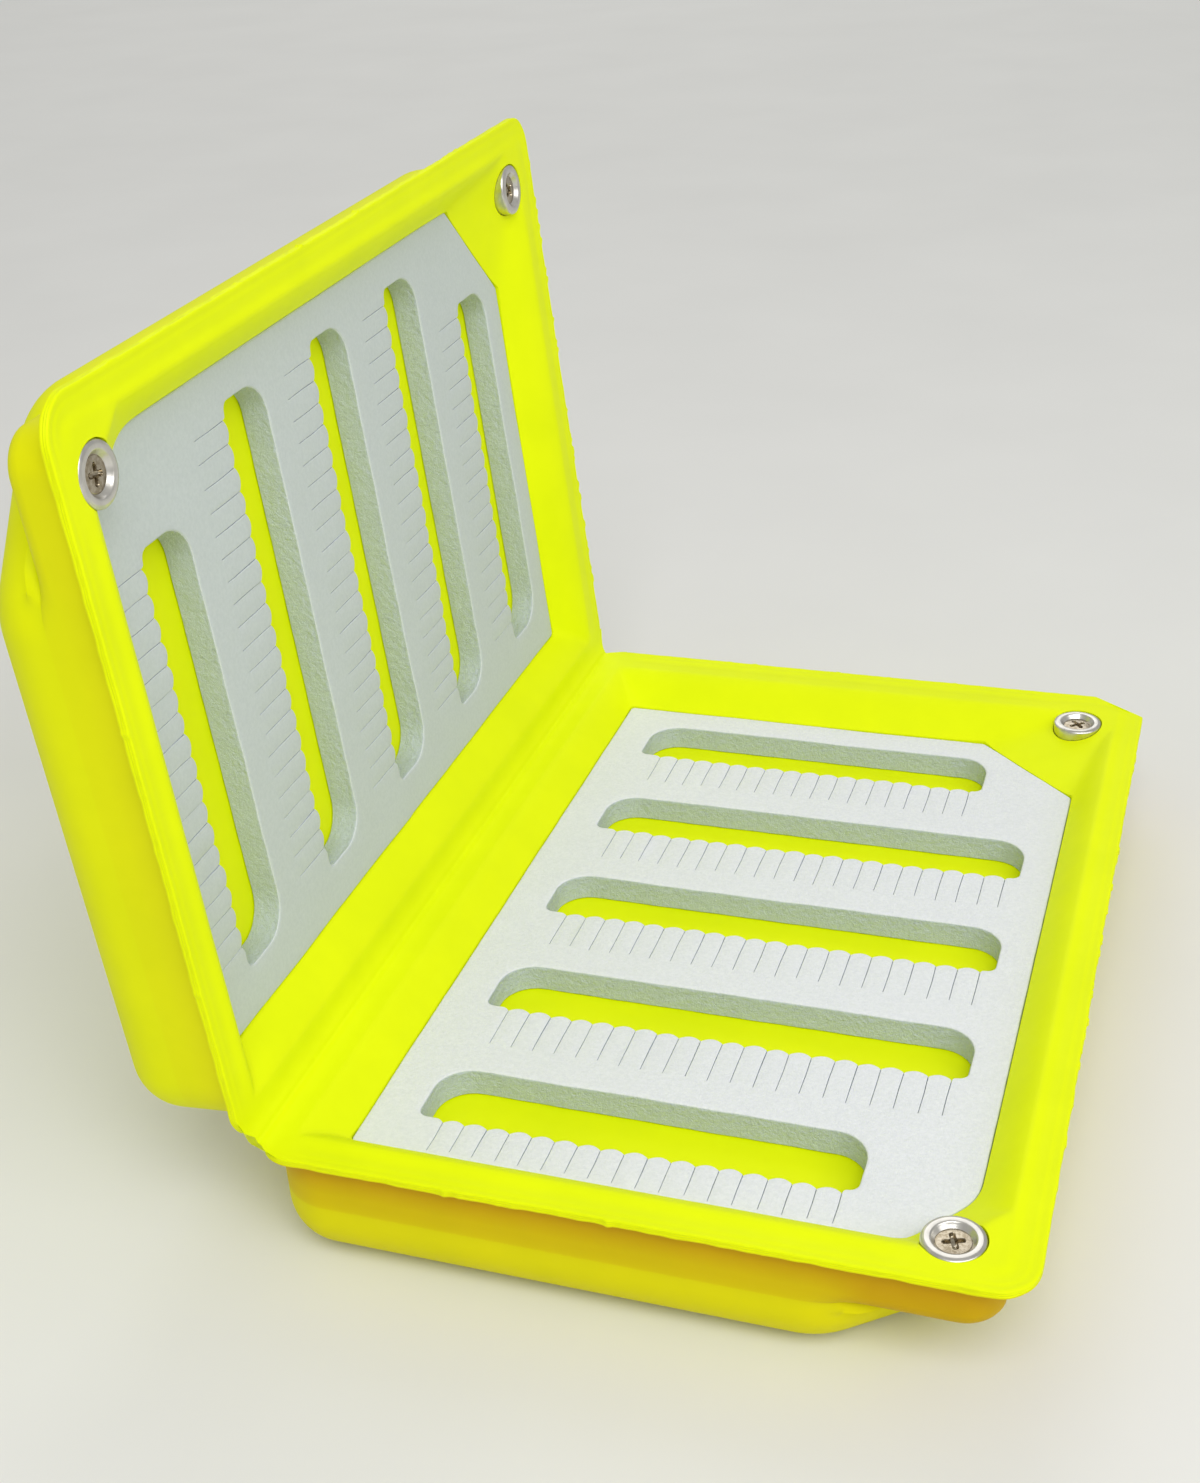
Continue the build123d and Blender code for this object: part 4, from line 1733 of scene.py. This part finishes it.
    def band(self, contour: Contour, into: int, seed: float) -> Array:
        """Rows of points from the top face, round the edge and down the cut wall.

        Formula: the top rows follow a quarter circle of the local rounding; the wall's rows
        wander by a few hundredths as torn cells do, less where the points are close together.

        Args:
            contour: The line at the wall.
            into: Side of the foam, as for offset.
            seed: Makes each wall's roughness its own.

        Returns:
            Array of rows by points by (u, y, w).
        """
        s, top = self.sizes, self.sizes.insert_top
        rows = []
        for out, down in quarter([0.0, 22.5, 45.0, 67.5, 90.0]):
            flat = self.offset(contour, out, into)
            drop = contour.rounding * down
            rows.append(np.column_stack([flat, top + drop - self.lift(flat[:, 0], flat[:, 1])]))
        edge = rows[-1][:, 2]
        along = np.cumsum(np.linalg.norm(np.diff(contour.points, axis=0, prepend=0), axis=1))
        room = np.clip(np.gradient(along) / self.tear_spacing, 0.0, 1.0)
        for row in range(1, self.wall_rows + 1):
            share = (row / self.wall_rows) ** self.wall_power
            rough = self.cell_tear * waves(along + 9.0 * row, (5.9, 2.3, 1.1), seed + 0.3 * row)
            rough = rough + self.cell_tear * scatter(len(along), seed + 0.37 * row)
            rough = rough * room * (row < self.wall_rows)
            calm = np.where(contour.rounding < self.edge_round, 0.0, rough)
            flat = self.offset(Contour(contour.points, calm), 1.0, into)
            w = edge + (top + s.insert_thickness - edge) * share
            rows.append(np.column_stack([flat, w]))
        return np.stack(rows)

    def inner_points(self, loops: list[Array]) -> Array:
        """Loose points for the upper face on a square net, kept off the slots and the edges.

        Args:
            loops: The face's outer edge, then each slot's, as rows of u and y.

        Returns:
            Rows of u, y and w.
        """
        s = self.sizes
        u = np.arange(s.margin_hinge + self.net_margin, s.width - s.margin_free, self.net)
        y = np.arange(s.margin_front + self.net_margin, s.length - s.margin_back, self.net)
        net = np.stack(np.meshgrid(u, y), axis=-1).reshape(-1, 2)
        keep = inside_loop(net, loops[0]) & (distance_to(net, loops[0]) > self.edge_clear)
        for loop in loops[1:]:
            keep &= ~inside_loop(net, loop) & (distance_to(net, loop) > self.slot_clear)
        flat = net[keep]
        return np.column_stack([flat, s.insert_top - self.lift(flat[:, 0], flat[:, 1])])

    def build(self, material: bpy.types.Material) -> None:
        """Make the insert: banded walls on every contour, closed by flat faces above and below.

        Args:
            material: Finish of the foam sheet.
        """
        contours = [self.outer_contour()] + [self.slot_contour(k) for k in range(self.slots.count)]
        bands = [self.band(c, -1 if k == 0 else 1, k * 1.7) for k, c in enumerate(contours)]
        loose = self.inner_points([band[0, :, :2] for band in bands])
        points, faces = closed_sheet(bands, loose)
        piece = self.make("slotted_insert", points, faces, material, self.sharp)
        skin_and_painted_shade = 0.5 if self.place.side is Side.BASE else 1.0  # the finish's second colour on the base; on the lid its third, greyer as painted shade
        shares = [np.where(np.arange(len(band)) < self.skin_rows, skin_and_painted_shade, 0.0) for band in bands]
        rows = [np.repeat(share, band.shape[1]) for share, band in zip(shares, bands)]
        paint(piece, np.concatenate(rows + [np.full(len(loose), skin_and_painted_shade)]))
        self.finish(piece, "insert_foam", "foam_insert")


@dataclass(frozen=True)
class AdhesiveFilm(TrayPart):
    """Film that holds an insert in its recess, cut a little inside the insert's edges."""

    insert: FoamInsert
    back_off: float = 0.25
    edge_spacing: float = 1.5
    hole_spacing: float = 1.0
    sharp: float = 40.0

    def hole(self, index: int) -> Outline:
        """Outline of the hole under a slot, a little larger than the slot.

        Args:
            index: Slot's number from the front.

        Returns:
            The outline.
        """
        slots, crest = self.insert.slots, self.insert.front_edge(index)
        left, right = self.insert.left_end(), self.insert.right_end(index)
        front, back = crest - slots.scallop, crest + slots.width
        corners = ((left, front), (right, front), (right, back), (left, back))
        small, large = slots.front_radius, slots.back_radius
        return Outline(corners, (small, small, large, large)).inset(-self.back_off)

    def build(self, material: bpy.types.Material) -> None:
        """Make the film from plain outlines: the insert's, less a hole under each slot.

        Args:
            material: Finish of the adhesive.
        """
        loops = [self.sizes.insert_outline().inset(self.back_off).points(self.edge_spacing)]
        for index in range(self.insert.slots.count):
            loops.append(self.hole(index).points(self.hole_spacing))
        top = self.sizes.insert_top + self.sizes.insert_thickness
        levels = (top, top + self.sizes.film)
        bands = [
            np.stack([np.column_stack([loop, np.full(len(loop), w)]) for w in levels])
            for loop in loops
        ]
        points, faces = closed_sheet(bands, np.zeros((0, 3)))
        piece = self.make("adhesive_film", points, faces, material, self.sharp)
        self.finish(piece, "adhesive", "insert_adhesive")


# ----------------------------------------------------------------------------- magnets and screws


def arc(centre: tuple[float, float], radius: float, start: float, end: float) -> Array:
    """Five points (r, w) of an arc in a section, its angles in degrees from +r towards +w."""
    turn = np.radians(np.linspace(start, end, 5))
    return np.column_stack([np.cos(turn), np.sin(turn)]) * radius + centre


@dataclass(frozen=True)
class RingMagnet(TrayPart):
    """Sintered ring magnet with a countersunk bore and tumbled edges."""

    end: str
    thickness: float = 3.0
    top: float = 0.12
    edge: float = 0.45
    crown: float = 0.16  # the face's outer round starts this much further in than its radius
    sink_radius: float = 2.8
    sink_depth: float = 1.6
    mouth_round: float = 0.30  # radius of the round at the countersink's mouth
    mouth_centre: tuple[float, float] = (0.14, 0.30)  # its centre, out from the mouth and down
    mouth_foot: tuple[float, float] = (0.28, 0.36)  # the cone's last point, in and down
    crown_step: float = 0.02  # the outer round starts this much lower than the crown's
    bore_radius: float = 1.4
    around: int = 96
    sharp: float = 32.0

    def profile(self) -> Array:
        """Section of the ring, from the bore's foot up, over the face and round.

        Returns:
            Rows of r and w, with the metal on the left.
        """
        r, top, edge = self.sizes.magnet_radius, self.top, self.edge
        low, mouth = top + self.thickness, self.sink_radius
        (out, down), (inwards, under) = self.mouth_centre, self.mouth_foot
        return np.vstack(
            [
                [[self.bore_radius, low], [self.bore_radius, top + self.sink_depth]],
                [[mouth - inwards, top + under]],
                arc((mouth + out, top + down), self.mouth_round, 205.0, 270.0),
                arc((r - edge - self.crown, top + edge), edge, 270.0, 300.0),
                arc((r - edge, top + edge + self.crown_step), edge, 305.0, 360.0),
                arc((r - edge, low - edge), edge, 0.0, 90.0),
            ]
        )

    def build(self, material: bpy.types.Material) -> None:
        """Make the magnet: its section turned about its axis and closed on itself.

        Args:
            material: Finish of the plating.
        """
        centre = self.sizes.magnet_centres()[self.end]
        profile = self.profile()
        rows = len(profile)
        points = circles(profile[:, 0], profile[:, 1], centre, self.around)
        # A band more than the rows have, its far row being the first one again.
        faces = (band_faces(rows + 1, self.around) % (rows * self.around)).tolist()
        piece = self.make(f"ring_magnet_{self.end}", points, faces, material, self.sharp)
        self.finish(piece, "nickel_plate", f"magnet_{self.end}")


@dataclass(frozen=True)
class RecessScrew(TrayPart):
    """Countersunk screw with a punched cross recess."""

    end: str
    turned: float  # angle of the recess in degrees
    head_radius: float = 2.25
    head_round: float = 0.08  # the face stops this far inside the head's edge
    top: float = 0.67
    dome: float = 0.10
    span: float = 1.05  # half the length of the cross's arms
    arm: float = 0.29  # half their width
    arm_wall: float = 0.16  # width of their sloping walls
    arm_margin: float = 0.10  # the walls start this far outside the arms
    arm_fade: float = 0.35  # the arms' floor rises up to this far past their ends
    arm_least: float = 0.35  # to this share of the recess's depth
    core_radius: float = 0.62
    core_wall: float = 0.2
    core_depth: float = 0.75  # as a share of the recess's
    recess_depth: float = 0.85
    middle: float = 0.02  # radius of the innermost ring and of the point
    # Section under the face: radius, and depth below the head's top.
    section: tuple[tuple[float, float], ...] = (
        (2.23, 0.12),
        (2.25, 0.20),
        (1.25, 1.1),
        (1.25, 4.3),
        (0.7, 4.7),
        (0.02, 4.8),
    )
    around: int = 96
    face_rings: int = 26
    sharp: float = 35.0

    def face_depth(self, a: Array, b: Array, radius: Array) -> Array:
        """Depth of the head's face.

        Formula: a shallow dome less the recess. The recess is deep where either arm of a cross
        is nearer than its half width, eases off at the arms' ends, and its walls slope.

        Args:
            a: Distances along one arm.
            b: Distances along the other.
            radius: Distances from the axis.

        Returns:
            Depths under the closing plane.
        """
        a, b = np.abs(a), np.abs(b)
        across = np.minimum(
            np.hypot(np.maximum(a - self.span, 0), b), np.hypot(np.maximum(b - self.span, 0), a)
        )
        wall = smoothstep((self.arm + self.arm_margin - across) / self.arm_wall)
        slope = np.clip(1.0 - radius / (self.span + self.arm_fade), 0.0, 1.0) ** 0.5
        core = smoothstep((self.core_radius - radius) / self.core_wall)
        floor = self.arm_least + (1.0 - self.arm_least) * slope
        recess = np.maximum(wall * floor, self.core_depth * core)
        dome = self.dome * (radius / self.head_radius) ** 2
        return self.top + dome + self.recess_depth * recess

    def face(self) -> Array:
        """Head's face as a polar grid.

        Returns:
            Array of rings by points by (u, y, w), from the middle out.
        """
        angle = math.radians(self.turned)
        rim = self.head_radius - self.head_round
        radius = np.linspace(self.middle, rim, self.face_rings)
        centre = self.sizes.magnet_centres()[self.end]
        flat = circles(radius, np.zeros_like(radius), (0.0, 0.0), self.around, angle)
        x, y = flat[..., 0], flat[..., 1]
        c, s = math.cos(angle), math.sin(angle)
        w = self.face_depth(x * c + y * s, -x * s + y * c, radius[:, None])
        return np.stack([x + centre[0], y + centre[1], np.broadcast_to(w, x.shape)], axis=-1)

    def build(self, material: bpy.types.Material) -> None:
        """Make the screw: its face, then the head's cone, the shank and the point.

        Args:
            material: Finish of the steel.
        """
        section = np.array(self.section) + np.array([0.0, self.top])
        centre, angle = self.sizes.magnet_centres()[self.end], math.radians(self.turned)
        sides = circles(section[:, 0], section[:, 1], centre, self.around, angle)
        grid = np.concatenate([self.face(), sides])
        faces = capped_faces(*grid.shape[:2])
        piece = self.make(f"recess_screw_{self.end}", grid, faces, material, self.sharp)
        self.finish(piece, "screw_steel", f"screw_{self.end}")


# ---------------------------------------------------------------------- stage, light and camera


@dataclass(frozen=True)
class Lamp:
    """Square soft lamp that faces the box."""

    name: str
    spot: tuple[float, float, float]  # in metres
    size: float  # width and height in metres
    watts: float
    aim: tuple[float, float, float] = (0.0, 0.0, 0.03)

    def hang(self) -> None:
        """Put the lamp in the scene."""
        data = bpy.data.lights.new(self.name, "AREA")
        data.shape, data.size, data.energy = "SQUARE", self.size, self.watts
        lamp = bpy.data.objects.new(self.name, data)
        lamp.location = self.spot
        aim = Vector(self.aim) - Vector(self.spot)
        lamp.rotation_euler = aim.to_track_quat("-Z", "Y").to_euler()
        bpy.context.scene.collection.objects.link(lamp)


@dataclass(frozen=True)
class Studio:
    """Plain pale floor, a pale surround and soft lamps."""

    floor: tuple[str, str] = ("#E6E6E3", "#E9E9E6")
    floor_cloud: Pattern = Pattern(60.0, 3.0)
    floor_half: float = 2.5  # in metres
    surround: str = "#F2F2F0"
    surround_strength: float = 0.56
    lamps: tuple[Lamp, ...] = (
        Lamp("key", (0.20, -0.48, 0.68), 0.45, 2.75),
        Lamp("fill", (0.74, -0.34, 0.60), 0.6, 2.1),
        Lamp("back", (-0.4, 1.3, 1.1), 1.0, 4.2),
    )

    def lay_floor(self) -> None:
        """Lay the floor at the base of the box and mark it as stage."""
        half = self.floor_half
        corners = [(-half, -half, 0.0), (half, -half, 0.0), (half, half, 0.0), (-half, half, 0.0)]
        mesh = bpy.data.meshes.new("floor")
        mesh.from_pydata(corners, [], [(0, 1, 2, 3)])
        floor = bpy.data.objects.new("floor", mesh)
        bpy.context.scene.collection.objects.link(floor)
        bench = NodeBench("matt_paper_floor")
        noise = bench.add("TexNoise", {"Vector": bench.place}, self.floor_cloud.values())
        stops = dict(zip((0.3, 0.7), self.floor))
        ramp = bench.add("ValToRGB", {"Fac": noise.outputs["Fac"]}, stops=stops)
        mesh.materials.append(
            bench.finish({"Base Color": ramp.outputs["Color"]}, {"Roughness": 0.9, "IOR": 1.3})
        )

    def light(self) -> None:
        """Set the surround and hang the lamps."""
        world = bpy.data.worlds.new("surround")
        bpy.context.scene.world = world
        world.use_nodes = True
        background = world.node_tree.nodes["Background"]
        background.inputs["Color"].default_value = hex_to_linear(self.surround)
        background.inputs["Strength"].default_value = self.surround_strength
        for lamp in self.lamps:
            lamp.hang()


@dataclass(frozen=True)
class Viewpoint:
    """Camera above the front right corner, looking down at both open trays."""

    spot: tuple[float, float, float] = (62.609, -242.167, 182.329)
    right: tuple[float, float, float] = (0.948468, 0.311986, -0.055444)
    up: tuple[float, float, float] = (-0.104440, 0.472982, 0.874860)
    forward: tuple[float, float, float] = (-0.299167, 0.823986, -0.481192)
    lens: float = 47.586
    sensor: float = 36.0
    clip: tuple[float, float] = (0.01, 20.0)  # in metres

    def set_up(self) -> None:
        """Make the camera the scene's own."""
        data = bpy.data.cameras.new("camera")
        data.lens, data.sensor_width, data.sensor_fit = self.lens, self.sensor, "AUTO"
        data.clip_start, data.clip_end = self.clip
        camera = bpy.data.objects.new("camera", data)
        axes = Matrix((self.right, self.up, tuple(-c for c in self.forward))).transposed()
        spot = Vector(self.spot) * MM
        camera.matrix_world = Matrix.LocRotScale(spot, axes.to_quaternion(), None)
        bpy.context.scene.collection.objects.link(camera)
        bpy.context.scene.camera = camera


# ----------------------------------------------------------------------------------------- main


class FlyBox:
    """The whole box: two moulded trays joined by a folding strip, and what each holds."""

    RECESS_TURNS = {  # angle of each screw's recess in degrees
        (Side.BASE, "front"): 20.0,
        (Side.BASE, "back"): 38.0,
        (Side.LID, "front"): 10.0,
        (Side.LID, "back"): 55.0,
    }

    def __init__(self) -> None:
        """Read the places and sizes, and make the finishes."""
        self.places = tray_places()
        self.sizes = tray_sizes()
        self.profile = TrayProfile(self.sizes)
        self.slots = SlotSizes()
        self.materials = {slot: finish.material() for slot, finish in finishes().items()}

    def build_tray(self, side: Side) -> None:
        """Build one tray with its insert, film, magnets and screws.

        Args:
            side: Which tray.
        """
        place = self.places[side]
        TrayShell(place, self.sizes, self.profile).build(self.materials["moulded_foam"])
        insert = FoamInsert(place, self.sizes, self.slots)
        insert.build(self.materials["insert_foam"])
        AdhesiveFilm(place, self.sizes, insert).build(self.materials["adhesive"])
        for end in ("front", "back"):
            RingMagnet(place, self.sizes, end).build(self.materials["nickel_plate"])
            turned = self.RECESS_TURNS[side, end]
            RecessScrew(place, self.sizes, end, turned).build(self.materials["screw_steel"])

    def dress_carried(self) -> None:
        """Give the kept CAD pieces, the anchors, their finish."""
        for side in Side:
            for end in ("front", "back"):
                anchor = bpy.data.objects[f"{side.value}_anchor_{end}"]
                for slot in anchor.material_slots:
                    slot.material = self.materials["anchor_plastic"]
                LOG.info("%s: dressed", anchor.name)

    def build(self) -> None:
        """Build every piece."""
        for side in Side:
            self.build_tray(side)
        strip = HingeStrip(self.places[Side.BASE], self.places[Side.LID], self.sizes, self.profile)
        strip.build(self.materials["moulded_foam"])
        self.dress_carried()


def main() -> None:
    """Build the scene."""
    logging.basicConfig(level=logging.INFO, format="%(name)s %(message)s")
    Viewpoint().set_up()
    studio = Studio()
    studio.lay_floor()
    studio.light()
    bpy.context.scene.view_settings.view_transform = "Standard"
    FlyBox().build()


if __name__ == "__main__":
    main()
